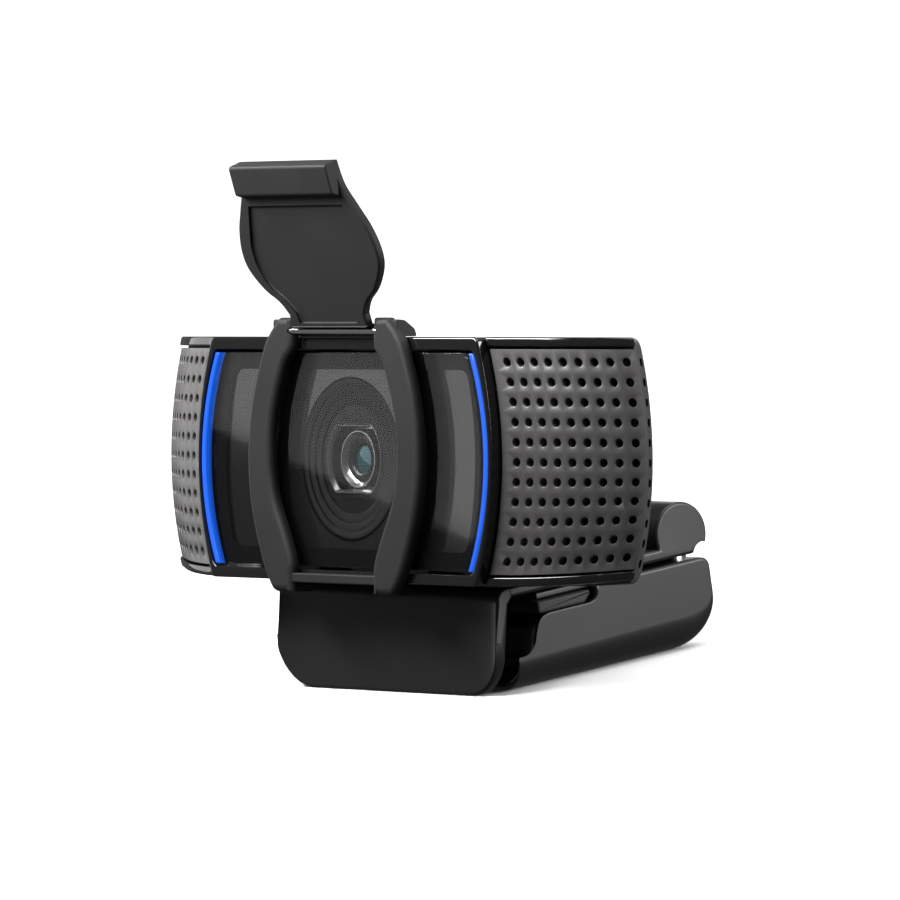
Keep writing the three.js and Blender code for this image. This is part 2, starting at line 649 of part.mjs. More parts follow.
function footShell() {
  const { top, rear, halfWidth, notchFloor, notchRear, wall } = FOOT;
  const profile = new THREE.Shape();
  profile.moveTo(notchRear, top);
  profile.lineTo(notchRear, notchFloor + 1.4);
  profile.quadraticCurveTo(notchRear, notchFloor, notchRear - 1.6, notchFloor);
  profile.lineTo(-4.4, notchFloor);
  profile.bezierCurveTo(-7.4, notchFloor, -6.6, 5, -7.6, 3.2);
  profile.quadraticCurveTo(-8.6, 0.8, -10.1, 0.8);
  profile.lineTo(-10.1, 0);
  profile.lineTo(rear - 5, 0);
  profile.quadraticCurveTo(rear, 0, rear, 5);
  profile.lineTo(rear, top - 1.3);
  profile.quadraticCurveTo(rear, top, rear - 1.3, top);
  const section = new THREE.Shape();
  section.moveTo(-halfWidth, 20);
  section.lineTo(-halfWidth, 3.6);
  section.quadraticCurveTo(-halfWidth, 0, -halfWidth + 4.2, 0);
  section.lineTo(halfWidth - 4.2, 0);
  section.quadraticCurveTo(halfWidth, 0, halfWidth, 3.6);
  section.lineTo(halfWidth, 20);
  const body = overlap(sweepX(profile, -halfWidth, halfWidth), sweepY(section, -30, 30));
  const inside = halfWidth - wall;
  const cavity = block([-inside + 1, inside - 1], [-12, rear - 2.2], [wall, notchFloor - 0.9]);
  const padSeat = block([-15, 15], [5, 15], [9.9, 12]);
  const { y, z, relief, inner, outer, knuckle, bore } = FOOT_HINGE;
  const hingeRoom = rodX(relief, -outer, outer, y, z, 20);
  const knuckles = [-1, 1].map((sign) => {
    const [low, high] = span(sign, inner + GAP, outer);
    return join(rodX(knuckle, low, high, y, z, 20), block([low, high], [y - 1, y + 0.85], [z - 2, z - 0.3]));
  });
  const hollow = cut(body, cavity, padSeat, hingeRoom, rodZ(TRIPOD.outer + GAP, -1, wall + 1, 0, TRIPOD.y));
  return cut(join(hollow, ...knuckles), rodX(bore, -30, 30, y, z, 20));
}

function footCore() {
  const { halfWidth, front, back, low, high } = FOOT_CORE;
  const body = block([-halfWidth, halfWidth], [front, back], [low, high]);
  const recessWidth = halfWidth - 1.5;
  const recess = block([-recessWidth, recessWidth], [front - 1, front + 1.8], [low + 1.15, high - 0.85]);
  return cut(body, rodZ(TRIPOD.outer + GAP, 0, TRIPOD.high + GAP, 0, TRIPOD.y), recess);
}

function footPad() {
  const { halfWidth, front, back, low, high } = FOOT_PAD;
  return block([-halfWidth, halfWidth], [front, back], [low, high]);
}

function tripodNut() {
  const { bore, outer, low, high } = TRIPOD;
  const profile = [[bore, low], [outer, low], [outer, high], [bore, high]];
  return turnY(profile, 28).rotateX(Math.PI / 2).translate(0, TRIPOD.y, 0);
}

// ---------------------------------------------------------------- assembly

const assembly = new THREE.Group();
assembly.position.y = SHIFT_Y;

const head = new THREE.Group();
head.rotation.x = -HEAD.tilt;
head.position.set(0, HEAD.y, HEAD.z);
assembly.add(head);

const tiltAxis = new THREE.Vector3(0, TILT_HINGE.y, TILT_HINGE.z);
tiltAxis.applyEuler(head.rotation).add(head.position);

const flap = new THREE.Group();
flap.rotation.x = FLAP.lean;
flap.position.set(0, SHUTTER.pinY, SHUTTER.pinZ);
head.add(flap);

function buildHead() {
  place(head, 'front_bezel', frontBezel(), 'glossBlack');
  place(head, 'front_window', frontWindow(), 'smokedGlass');
  place(head, 'mask_plate', maskPlate(), 'darkPlastic');
  place(head, 'lens_shroud', lensShroud(), 'darkPlastic');
  place(head, 'lens_frame', lensFrame(), 'steel');
  place(head, 'lens_barrel', lensBarrel(), 'satinBlack');
  place(head, 'lens_retainer', lensRetainer(), 'darkPlastic');
  place(head, 'front_lens', lensElement(3.15, 3.7, 4.8), 'lensGlass');
  place(head, 'rear_lens', lensElement(6.2, 6.7, 7.6), 'lensGlass');
  place(head, 'focus_actuator', focusActuator(), 'steel');
  place(head, 'infrared_filter', block([-3.4, 3.4], [11, 11.3], [-2.8, 2.8]), 'filterGlass');
  place(head, 'image_sensor', block([-3.8, 3.8], [11.7, 12.5], [-3.1, 3.1]), 'chip');
  place(head, 'chassis', chassis(), 'darkPlastic');
  place(head, 'main_board', mainBoard(), 'board');
  place(head, 'image_processor', block([6.5, 14.5], [14.1, 15.1], [-1, 7]), 'chip');
  place(head, 'board_connector', block([-15.5, -7.5], [14.1, 16.2], [-3, 1.5]), 'ledWhite');
  place(head, 'rear_cover', rearCover(), 'satinBlack');
  place(head, 'cable_gland', cableGland(), 'rubber');
  place(head, 'tilt_lug', tiltLug(), 'steel');
  SCREW_PLACES.forEach(([x, z], index) => place(head, `board_screw_${index + 1}`, boardScrew(x, z), 'steel'));
  const pairs = [
    ['light_pipe', lightPipe(), 'blueLight'],
    ['status_light', block([25.9, 27.4], [3.5, 4.4], [-1.2, 1.2]), 'ledWhite'],
    ['grille', grille(), 'satinBlack'],
    ['acoustic_mesh', acousticMesh(), 'cloth'],
    ['microphone', microphone(), 'steel'],
    ['microphone_boot', microphoneBoot(), 'rubber'],
    ['top_band', edgeBand(BAND.low, BAND.high), 'glossBlack'],
    ['bottom_band', edgeBand(-BAND.high, -BAND.low), 'glossBlack'],
  ];
  pairs.forEach(([name, geometry, finish]) => {
    place(head, `${name}_right`, geometry, finish);
    place(head, `${name}_left`, mirrored(geometry), finish);
  });
}

function buildShutter() {
  const { pinY, pinZ, pinRadius } = SHUTTER;
  place(head, 'shutter_frame', shutterFrame(), 'softTouch');
  place(head, 'shutter_pin', rodX(pinRadius, -10.3, 10.3, pinY, pinZ, 16), 'chrome');
  place(flap, 'shutter_flap', shutterFlap(), 'softTouch');
}

function buildClip() {
  const { y, z, pin, outer } = FOOT_HINGE;
  place(assembly, 'bracket', bracket(), 'clipBlack');
  place(assembly, 'lip_pad', lipPad(), 'rubber');
  place(assembly, 'pad_carrier', padCarrier(), 'darkPlastic');
  place(assembly, 'plate_pad', platePad(), 'rubber');
  place(assembly, 'tilt_pin', rodX(TILT_HINGE.pin, -7.8, 7.8, tiltAxis.y, tiltAxis.z, 20), 'steel');
  place(assembly, 'tilt_washer_left', tiltWasher(-5), 'steel');
  place(assembly, 'tilt_washer_right', tiltWasher(4.6), 'steel');
  place(assembly, 'foot_pin', rodX(pin, -outer + 0.2, outer - 0.2, y, z, 16), 'chrome');
}

function buildFoot() {
  place(assembly, 'foot_shell', footShell(), 'clipBlack');
  place(assembly, 'foot_core', footCore(), 'darkPlastic');
  place(assembly, 'foot_pad', footPad(), 'rubber');
  place(assembly, 'tripod_nut', tripodNut(), 'brass');
}

buildHead();
buildShutter();
buildClip();
buildFoot();

export default assembly;
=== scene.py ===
import json
import math

import bmesh
import bpy
from mathutils import Matrix, Vector


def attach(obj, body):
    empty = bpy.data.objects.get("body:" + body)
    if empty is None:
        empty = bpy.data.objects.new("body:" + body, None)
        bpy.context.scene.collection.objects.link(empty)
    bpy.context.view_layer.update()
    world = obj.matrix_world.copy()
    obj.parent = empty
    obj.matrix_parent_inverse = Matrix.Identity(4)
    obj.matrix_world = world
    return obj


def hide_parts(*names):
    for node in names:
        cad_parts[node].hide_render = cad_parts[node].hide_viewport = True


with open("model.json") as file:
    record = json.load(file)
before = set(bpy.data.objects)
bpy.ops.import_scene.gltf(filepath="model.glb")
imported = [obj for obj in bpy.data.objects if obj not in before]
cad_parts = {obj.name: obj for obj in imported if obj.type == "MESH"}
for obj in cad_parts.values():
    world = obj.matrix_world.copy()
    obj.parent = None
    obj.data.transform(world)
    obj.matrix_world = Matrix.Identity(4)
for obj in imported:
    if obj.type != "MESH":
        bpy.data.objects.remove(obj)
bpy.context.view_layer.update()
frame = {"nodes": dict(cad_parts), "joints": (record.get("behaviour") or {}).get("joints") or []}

# Webcam head with a flip-up privacy shutter on a folding clip.
# Shapes are drawn in millimetres, in the head's own frame (origin on the lens axis at the window's
# front face, front towards -Y) or in the assembly's frame, and are placed in metres.

MM = 0.001

# ------------------------------------------------------------------ sizes, in millimetres

HEAD = {"half_height": 14.5, "half_width": 46.9, "half_at_edges": 44.2, "seam": 8.9}
BEZEL = {"half_width": 29.3, "half_at_edges": 26.4, "front": -0.2, "seat_inset": 0.55}
WINDOW = {"half_width": 27.2, "half_at_edges": 24.3, "low": -12.9, "high": 12.7, "back": 0.9}
SEAT = {"low": -13.2, "high": 13.0, "back": 3.2}
MASK = {"half_width": 25.0, "half_at_edges": 23.4, "half_height": 10.8, "front": 1.3, "back": 2.1}
LIGHT_PIPE = {"inner": 27.7, "outer": 28.6, "front": -0.1, "back": 0.8}
RINGS = {"radii": [9.5, 8.65, 7.6, 6.5, 5.4], "step": 0.2, "front": 1.35, "back": 4.15}
LENS_FRAME = {"front": 1.75, "opening": 4.95, "half_height": 3.6}
GRILLE = {"wall": 1.1, "half_height": 13.1, "pitch": 1.99, "first": 2.1, "columns": 9, "hole": 0.5}
ROWS = {"count": 11, "pitch": 2.32}
BOTTOM_RISE = 0.07  # share of the height by which the head's ends are shallower below
BAND = {"low": 13.4, "high": 14.5, "proud": 0.28}
END_PLAN = [(30.6, 1.5), (31.9, 1.9), (35, 2.68), (38, 3.57), (41, 4.9), (43.7, 6.35)]
GAP = 0.3
CLEAR = 30  # further out than any piece, for cutters that go right through

PIN = {"y": -1.1, "z": 15.2, "radius": 0.42, "half_length": 8.8}
SHUTTER = {"front": -1.6, "back": -0.4, "top": 16.8, "bottom": -15.9}
OPENING_EDGE = [(8.1, 13.2), (9.9, 11), (12, 5.2), (12.45, 0), (11.7, -4.6), (9.4, -9.2), (8.1, -12.2)]
ARM_EDGE = [(12.7, 15.2), (14.2, 13), (16.4, 7), (17.3, 0.8), (16.7, -5.6), (14.5, -12)]
FLAP = {"lean": 19.5, "thickness": 1.1, "length": 21.2, "knuckle": 0.95, "neck": 7.5}
FLAP_EDGE = [(7.5, 2.2), (8.7, 3.7), (11.1, 5.4), (13.1, 7.9), (13.5, 10.2), (12.8, 12.9), (11.3, 15.6),
             (9.9, 18.2)]
TAB = {"low": 16.35, "shoulder": 17.6, "front": -1.75, "half_width": 9.7}
POCKET_EDGE = [(5.9, 2.4), (7.4, 4), (9.6, 5.7), (10.9, 7.9), (11.2, 10.5), (10.5, 12.9)]

CLIP = {"half_width": 21.4, "lip_half": 21.85, "plate_top": 12.65, "plate_bottom": 11.2,
        "lip_top_y": -12.05, "lip_bottom_y": -13.55, "lip_thickness": 1.5, "corner": 6.0}
BARREL_END = {"y": 16.55, "z": 13.8, "radius": 3.9}
FOOT_HINGE = {"y": 19.45, "z": 10.9, "knuckle": 1.0, "relief": 1.5, "inner": 9.7, "outer": 16.8, "bore": 0.53}
PIN_BORE = PIN["radius"] + 0.1
SOCKET = {"centre": (0, 5), "hole": 4.7, "radius": 3.1, "thread": 3.32, "pitch": 1.27}
FOOT = {"top": 10.6, "rear": 20.3, "half_width": 21.4, "notch_floor": 8.1, "notch_rear": 2.75}

# ------------------------------------------------------------------ the two drawing frames


def joint(name):
    return next(j for j in frame["joints"] if j["name"] == name)


def head_frame():
    """From the head's frame to the row frame, by the shutter's pin and the lens axis."""
    axis = Vector(joint("lens_focus")["axis"])
    turn = Matrix.Rotation(-math.atan2(axis.z, -axis.y), 4, "X")
    pin = Vector(joint("shutter_flip")["pos_m"])
    origin = pin - turn @ (Vector((0, PIN["y"], PIN["z"])) * MM)
    return Matrix.Translation(origin) @ turn @ Matrix.Scale(MM, 4)


def clip_frame():
    """Millimetres in the clip's frame to metres in the row frame, from the foot's hinge."""
    hinge = Vector(joint("foot_fold")["pos_m"])
    place = hinge - Vector((0, FOOT_HINGE["y"], FOOT_HINGE["z"])) * MM
    return Matrix.Translation(place) @ Matrix.Scale(MM, 4)


TO_HEAD = head_frame()
TO_CLIP = clip_frame()
TO_PIN = TO_HEAD @ Matrix.Translation((0, PIN["y"], PIN["z"]))
TO_FLAP = TO_PIN @ Matrix.Rotation(math.radians(FLAP["lean"]), 4, "X")
PLACES = {"root": TO_CLIP, "foot": TO_CLIP, "head": TO_HEAD, "lens": TO_HEAD, "shutter": TO_FLAP}

# ------------------------------------------------------------------ outlines


def arc(centre, radius, start, end, steps):
    """Points of an arc, angles in degrees."""
    turns = [math.radians(start + (end - start) * i / steps) for i in range(steps + 1)]
    return [(centre[0] + radius * math.cos(a), centre[1] + radius * math.sin(a)) for a in turns]


def curve(a, b, c, steps=10):
    """A quadratic curve from a to c, pulled towards b."""
    points = []
    for i in range(steps + 1):
        t = i / steps
        u = 1 - t
        points.append(tuple(u * u * p + 2 * u * t * q + t * t * r for p, q, r in zip(a, b, c)))
    return points


def smooth_through(points, steps=7):
    """A smooth line through all the points."""
    line = []
    for i in range(len(points) - 1):
        before = points[max(i - 1, 0)]
        after = points[min(i + 2, len(points) - 1)]
        a, b = points[i], points[i + 1]
        for k in range(steps):
            t = k / steps
            line.append(tuple(
                0.5 * (2 * q + (r - p) * t + (2 * p - 5 * q + 4 * r - s) * t * t
                       + (3 * q - p - 3 * r + s) * t ** 3)
                for p, q, r, s in zip(before, a, b, after)))
    return line + [points[-1]]


def filleted(corners, steps=6):
    """A closed outline of (u, v, fillet radius) corners."""
    outline = []
    count = len(corners)
    for i in range(count):
        u, v, radius = corners[i]
        here = Vector((u, v))
        back = Vector(corners[i - 1][:2]) - here
        on = Vector(corners[(i + 1) % count][:2]) - here
        if radius <= 0:
            outline.append((u, v))
            continue
        half = back.angle(on) / 2
        reach = min(radius / math.tan(half), back.length * 0.49, on.length * 0.49)
        start, end = here + back.normalized() * reach, here + on.normalized() * reach
        outline += curve(tuple(start), (u, v), tuple(end), steps)
    return outline


def bulged(half_at_edges, half_width, low, high, radius):
    """An upright outline with bulging sides, anticlockwise, with a fixed number of points."""
    side_steps, corner_steps, top_steps = 16, 4, 12
    middle, reach = (low + high) / 2, (high - low) / 2

    def side(z):
        return half_at_edges + (half_width - half_at_edges) * (1 - ((z - middle) / reach) ** 2)

    radius = max(radius, 0.02)
    right_bottom = curve((side(low) - radius, low), (side(low), low),
                         (side(low + radius), low + radius), corner_steps)
    straight = high - low - 2 * radius
    levels = [low + radius + straight * i / side_steps for i in range(1, side_steps)]
    right_side = [(side(z), z) for z in levels]
    right_top = curve((side(high - radius), high - radius), (side(high), high),
                      (side(high) - radius, high), corner_steps)
    right = right_bottom + right_side + right_top
    left = [(-x, z) for x, z in reversed(right)]
    flat = side(high) - radius
    over = [(flat - 2 * flat * i / top_steps, high) for i in range(1, top_steps)]
    flat = side(low) - radius
    under = [(-flat + 2 * flat * i / top_steps, low) for i in range(1, top_steps)]
    return right + over + left + under


def mirrored_outline(edge, first, last):
    """A closed outline, the same left and right: a smooth edge between two straight ends."""
    right = [first] + smooth_through(edge + [last])
    return right + [(-x, z) for x, z in reversed(right)]


def area(outline):
    return sum(a[0] * b[1] - b[0] * a[1] for a, b in zip(outline, outline[1:] + outline[:1])) / 2


def inset(outline, distance, ease=None):
    """The outline moved inwards, corners kept. ease(u, v) is the share by which thin places move."""
    sign = 1 if area(outline) > 0 else -1
    moved = []
    count = len(outline)
    for i in range(count):
        here = Vector(outline[i])
        before, after = here - Vector(outline[i - 1]), Vector(outline[(i + 1) % count]) - here
        normals = [Vector((-d.y, d.x)).normalized() * sign for d in (before, after) if d.length > 1e-6]
        total = sum(normals, Vector((0, 0)))
        if total.length < 1e-6:
            total = normals[0]
        normal = total.normalized()
        stretch = 1 / max(normal.dot(normals[0]), 0.5)
        share = ease(*here) if ease else 1
        moved.append(tuple(here + normal * distance * stretch * share))
    return moved


# ------------------------------------------------------------------ shapes: (points, faces)


def loft(rings, loop=False):
    """Rings of points joined by quads: a tube that closes on itself, or one with a cap at each end."""
    count = len(rings[0])
    points = [p for ring in rings for p in ring]
    pairs = range(len(rings) if loop else len(rings) - 1)
    faces = []
    for r in pairs:
        here, there = r * count, ((r + 1) % len(rings)) * count
        faces += [(here + i, here + (i + 1) % count, there + (i + 1) % count, there + i)
                  for i in range(count)]
    if not loop:
        faces.append(tuple(range(count)))
        faces.append(tuple(range(len(points) - count, len(points))))
    return points, faces


def together(*shapes):
    points, faces = [], []
    for shape_points, shape_faces in shapes:
        start = len(points)
        points += shape_points
        faces += [tuple(start + i for i in face) for face in shape_faces]
    return points, faces


def on_axis(axis, u, v, depth):
    """x: u is Y and v is Z. y: u is X and v is Z. z: u is X and v is Y."""
    return {"x": (depth, u, v), "y": (u, depth, v), "z": (u, v, depth)}[axis]


def quarter(radius, steps=4):
    """(inset, distance from the face) pairs of a rounded edge, from the face outwards."""
    turns = [math.pi / 2 * i / steps for i in range(steps + 1)]
    return [(radius * (1 - math.sin(a)), radius * (1 - math.cos(a))) for a in turns]


def slab(outline, low, high, axis="y", low_edge=0.0, high_edge=0.0, steps=4):
    """An outline with thickness, its two rims rounded by the given radii."""
    rings = [(i, low + d) for i, d in quarter(low_edge, steps)] if low_edge else [(0, low)]
    rings += [(i, high - d) for i, d in reversed(quarter(high_edge, steps))] if high_edge else [(0, high)]
    return loft([[on_axis(axis, u, v, depth) for u, v in inset(outline, i)] for i, depth in rings])


def turned(profile, axis="y", centre=(0, 0), sides=72):
    """A closed profile of (radius, place along the axis) turned about the axis."""
    rings = []
    for i in range(sides):
        a = 2 * math.pi * i / sides
        rings.append([on_axis(axis, centre[0] + r * math.cos(a), centre[1] + r * math.sin(a), along)
                      for r, along in profile])
    return loft(rings, loop=True)


def rod(radius, low, high, axis="x", centre=(0, 0), edge=0.1, sides=40):
    """A round bar with rounded rims."""
    return slab(arc(centre, radius, 0, 360, sides)[:-1], low, high, axis, edge, edge)


def box(x, y, z, edge=0.0):
    """A block with rounded edges along Y and smaller rounded rims."""
    corners = [(x[0], z[0], edge), (x[1], z[0], edge), (x[1], z[1], edge), (x[0], z[1], edge)]
    return slab(filleted(corners, 4), y[0], y[1], "y", edge * 0.6, edge * 0.6, 3)


# ------------------------------------------------------------------ pieces


def make(name, shape):
    """A mesh object in millimetres from a shape; no face is left inside out or doubled."""
    points, faces = shape
    mesh = bpy.data.meshes.new(name)
    mesh.from_pydata(points, [], faces)
    bm = bmesh.new()
    bm.from_mesh(mesh)
    bmesh.ops.remove_doubles(bm, verts=bm.verts, dist=1e-4)
    bmesh.ops.dissolve_degenerate(bm, edges=bm.edges, dist=1e-5)
    bmesh.ops.recalc_face_normals(bm, faces=bm.faces)
    bm.to_mesh(mesh)
    bm.free()
    piece = bpy.data.objects.new(name, mesh)
    bpy.context.scene.collection.objects.link(piece)
    return piece


def soften(piece, angle):
    piece.data.shade_smooth()
    piece.data.set_sharp_from_angle(angle=math.radians(angle))


def boolean(piece, others, operation):
    """Cuts, joins or intersects the piece with each other shape, for good."""
    for shape in others:
        tool = make("tool", shape)
        modifier = piece.modifiers.new("tool", "BOOLEAN")
        modifier.operation = operation
        modifier.solver = "EXACT"
        modifier.object = tool
        graph = bpy.context.evaluated_depsgraph_get()
        result = bpy.data.meshes.new_from_object(piece.evaluated_get(graph))
        piece.modifiers.clear()
        piece.data = result
        bpy.data.objects.remove(tool)
    return piece


def dress(piece, body, finish, stands_for=(), smooth=30):
    """Places the piece, smooths its shading, gives it its body and material, and hides the CAD nodes it
    stands for.
    """
    piece.data.transform(PLACES[body])
    soften(piece, smooth)
    even = piece.modifiers.new("even_normals", "WEIGHTED_NORMAL")
    even.keep_sharp = True
    piece.data.materials.clear()
    piece.data.materials.append(FINISH[finish])
    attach(piece, body)
    if stands_for:
        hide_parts(*stands_for)


def both_sides(stem, shape, finish, node):
    """The piece on the head's right, and mirrored on its left."""
    points, faces = shape
    mirrored = [(-x, y, z) for x, y, z in points], faces
    for side, made in (("right", shape), ("left", mirrored)):
        dress(make(stem + side, made), "head", finish, [node + side])


def span(sign, near, far):
    """Low and high X of a stretch on one side of the middle."""
    return sorted((sign * near, sign * far))


# ------------------------------------------------------------------ materials


def noise(tree, coordinates, scale, detail):
    node = tree.nodes.new("ShaderNodeTexNoise")
    node.inputs["Scale"].default_value = scale
    node.inputs["Detail"].default_value = detail
    node.inputs["Roughness"].default_value = 0.55
    tree.links.new(coordinates, node.inputs["Vector"])
    return node.outputs["Fac"]


def spread(tree, value, low, high):
    """A noise value spread over a range."""
    node = tree.nodes.new("ShaderNodeMapRange")
    node.inputs["From Min"].default_value = 0.3
    node.inputs["From Max"].default_value = 0.7
    node.inputs["To Min"].default_value = low
    node.inputs["To Max"].default_value = high
    tree.links.new(value, node.inputs["Value"])
    return node.outputs["Result"]


def blend_colours(tree, value, first, second):
    node = tree.nodes.new("ShaderNodeMix")
    node.data_type = "RGBA"
    node.inputs["A"].default_value = (*first, 1)
    node.inputs["B"].default_value = (*second, 1)
    tree.links.new(value, node.inputs["Factor"])
    return node


def material(name, colour, roughness, metallic=0.0, grain=0.15, bump=0.25, depth=0.01, mottle=0.05,
             edge_highlight=0.0, **sockets):
    """Fine grain (mm) in the bump, clouds in the colour and roughness, and a painted highlight that lightens
    convex edges.
    """
    made = bpy.data.materials.new(name)
    made.use_nodes = True
    tree = made.node_tree
    shader = tree.nodes["Principled BSDF"]
    coordinates = tree.nodes.new("ShaderNodeTexCoord").outputs["Object"]
    fine = noise(tree, coordinates, 1 / (grain * MM), 2.0)
    clouds = noise(tree, coordinates, 120, 4.0)
    darker = tuple(c * (1 - mottle) for c in colour)
    lighter = tuple(min(c * (1 + mottle), 1) for c in colour)
    colours = blend_colours(tree, clouds, darker, lighter)
    base = colours.outputs["Result"]
    # Painted highlight: sharp convex edges, found by pointiness, are mixed towards a lighter colour.
    if edge_highlight:
        geometry = tree.nodes.new("ShaderNodeNewGeometry")
        edges = tree.nodes.new("ShaderNodeMapRange")
        edges.inputs["From Min"].default_value = 0.53
        edges.inputs["From Max"].default_value = 0.62
        edges.inputs["To Max"].default_value = edge_highlight
        tree.links.new(geometry.outputs["Pointiness"], edges.inputs["Value"])
        highlight_colour = tuple(min(c * 2.2 + 0.03, 1) for c in colour)
        highlit_edges = blend_colours(tree, edges.outputs["Result"], colour, highlight_colour)
        tree.links.new(base, highlit_edges.inputs["A"])
        base = highlit_edges.outputs["Result"]
    tree.links.new(base, shader.inputs["Base Color"])
    shader.inputs["Metallic"].default_value = metallic
    varied = spread(tree, clouds, roughness * 0.95, min(roughness * 1.05, 1))
    tree.links.new(varied, shader.inputs["Roughness"])
    relief = tree.nodes.new("ShaderNodeBump")
    relief.inputs["Strength"].default_value = bump
    relief.inputs["Distance"].default_value = depth * MM
    tree.links.new(fine, relief.inputs["Height"])
    tree.links.new(relief.outputs["Normal"], shader.inputs["Normal"])
    for socket, value in sockets.items():
        shader.inputs[socket.replace("_", " ")].default_value = value
    return made


def grey(value, warmth=0.0):
    return (value * (1 + warmth), value, value * (1 - warmth * 0.3))


# The grille, rear, clip and steel finishes carry a painted highlight on their convex edges, a lighter colour
# mixed in by pointiness.
FINISH = {
    "gloss": material("gloss_black", grey(0.006), 0.09, grain=1.6, bump=0.08, depth=0.004, IOR=1.55,
                      Coat_Weight=0.15, Coat_Roughness=0.04),
    "grille": material("grille_satin", grey(0.05, 0.05), 0.36, grain=0.22, bump=0.2, depth=0.012, edge_highlight=0.4),
    "rear": material("rear_satin", grey(0.03, 0.04), 0.42, grain=0.2, bump=0.3, depth=0.014, edge_highlight=0.2),
    "clip": material("clip_satin", grey(0.012, 0.08), 0.34, grain=0.25, bump=0.16, depth=0.01, edge_highlight=0.15,
                     Specular_IOR_Level=0.3),
    "soft": material("soft_touch", grey(0.013), 0.55, grain=0.16, bump=0.55, depth=0.02, mottle=0.2,
                     Specular_IOR_Level=0.16, Sheen_Weight=0.01, Sheen_Roughness=0.5),
    "window": material("smoked_window", grey(0.004), 0.03, grain=3.0, bump=0.0, depth=0.002, Alpha=0.22,
                       IOR=1.5),
    "print": material("window_print", grey(0.002), 0.9, grain=0.3, bump=0.1, Specular_IOR_Level=0.05),
    "mask": material("mask_satin", grey(0.01), 0.06, grain=0.4, bump=0.0, depth=0.002, IOR=1.75),
    "shroud": material("shroud_black", grey(0.004), 0.22, grain=0.2, bump=0.05, depth=0.004,
                       Specular_IOR_Level=0.22),
    "light": material("blue_light", (0.005, 0.04, 0.3), 0.3, grain=0.5, bump=0.1,
                      Emission_Color=(0.006, 0.1, 0.66, 1), Emission_Strength=0.8),
    "dark": material("dark_plastic", grey(0.014), 0.55, grain=0.2, bump=0.4, depth=0.015),
    "bright": material("turned_metal", grey(0.55), 0.2, 1.0, grain=0.12, bump=0.1, depth=0.004),
    "glass": material("coated_lens", (0.01, 0.06, 0.07), 0.03, grain=1.0, bump=0.02, depth=0.001, IOR=1.8,
                      Coat_Weight=1.0, Coat_Roughness=0.02, Coat_Tint=(0.5, 0.95, 1.0, 1)),
    "filter": material("filter_glass", (0.3, 0.14, 0.2), 0.08, grain=1.0, bump=0.03, depth=0.002),
    "chrome": material("pin_chrome", grey(0.85), 0.12, 1.0, grain=0.3, bump=0.06, depth=0.003),
    "steel": material("plain_steel", grey(0.5), 0.34, 1.0, grain=0.15, bump=0.25, depth=0.008, edge_highlight=0.2),
    "brass": material("brass", (0.62, 0.42, 0.16), 0.3, 1.0, grain=0.15, bump=0.25, depth=0.008),
    "rubber": material("rubber", grey(0.018), 0.72, grain=0.14, bump=0.6, depth=0.02, mottle=0.2),
    "board": material("solder_mask", (0.012, 0.11, 0.04), 0.35, grain=0.4, bump=0.2, depth=0.02, mottle=0.3),
    "chip": material("chip_package", grey(0.02), 0.5, grain=0.1, bump=0.5, depth=0.012),
    "white": material("white_moulding", grey(0.7), 0.4, grain=0.2, bump=0.2),
    "cloth": material("acoustic_cloth", grey(0.006), 0.95, grain=0.1, bump=0.8, depth=0.03),
}

# ------------------------------------------------------------------ head: front


def seated_outline(edge, low, high, radius):
    return bulged(BEZEL["half_at_edges"] - edge, BEZEL["half_width"] - edge, low, high, radius)


def front_bezel():
    """A ring: outside, rounded glossy rim, window seat, ledge, and the cavity behind."""
    tall = HEAD["half_height"]
    front, seam = BEZEL["front"], HEAD["seam"]

    def outer(in_by, y):
        return [(u, y, v) for u, v in seated_outline(in_by, -tall + in_by, tall - in_by, 0.5)]

    def inner(in_by, y):
        edge = BEZEL["seat_inset"] - in_by
        return [(u, y, v) for u, v in seated_outline(edge, SEAT["low"] - in_by, SEAT["high"] + in_by, 0.8)]

    rings = [outer(0, seam)]
    rings += [outer(i, front + d) for i, d in reversed(quarter(0.28, 4))]
    rings += [inner(i, front + d) for i, d in quarter(0.12, 3)]
    rings.append(inner(0, SEAT["back"]))
    cavity = seated_outline(1.4, -11.6, 12.9, 0.8)
    rings += [[(u, y, v) for u, v in cavity] for y in (SEAT["back"], seam)]
    piece = make("front_bezel_shell", loft(rings, loop=True))
    boolean(piece, [box((-22.6, 22.6), (3.9, 12), (-16, -13))], "DIFFERENCE")
    dress(piece, "head", "gloss", ["front_bezel"])


def front_window():
    outline = bulged(WINDOW["half_at_edges"], WINDOW["half_width"], WINDOW["low"], WINDOW["high"], 0.8)
    pane = make("window_pane", slab(outline, 0, WINDOW["back"], "y", 0.15, 0.1))
    dress(pane, "head", "window", ["front_window"])


def window_print():
    """The black print round the back of the pane."""
    outer = bulged(WINDOW["half_at_edges"] - 0.1, WINDOW["half_width"] - 0.1,
                   WINDOW["low"] + 0.1, WINDOW["high"] - 0.1, 0.8)
    tall = MASK["half_height"] - 0.15
    inner = bulged(MASK["half_at_edges"] - 0.15, MASK["half_width"] - 0.15, -tall, tall, 1.2)
    front, back = 0.95, 1.2
    rings = [[(u, y, v) for u, v in edge]
             for edge, y in ((outer, front), (inner, front), (inner, back), (outer, back))]
    piece = make("window_print", loft(rings, loop=True))
    dress(piece, "head", "print")


def mask_plate():
    tall = MASK["half_height"]
    outline = bulged(MASK["half_at_edges"], MASK["half_width"], -tall, tall, 1.2)
    plate = make("mask_plate_detailed", slab(outline, MASK["front"], MASK["back"], "y", 0.1, 0.0))
    hole = rod(RINGS["radii"][0] + GAP, 0, 4, "y", edge=0.05, sides=96)
    boolean(plate, [hole], "DIFFERENCE")
    dress(plate, "head", "mask", ["mask_plate"])


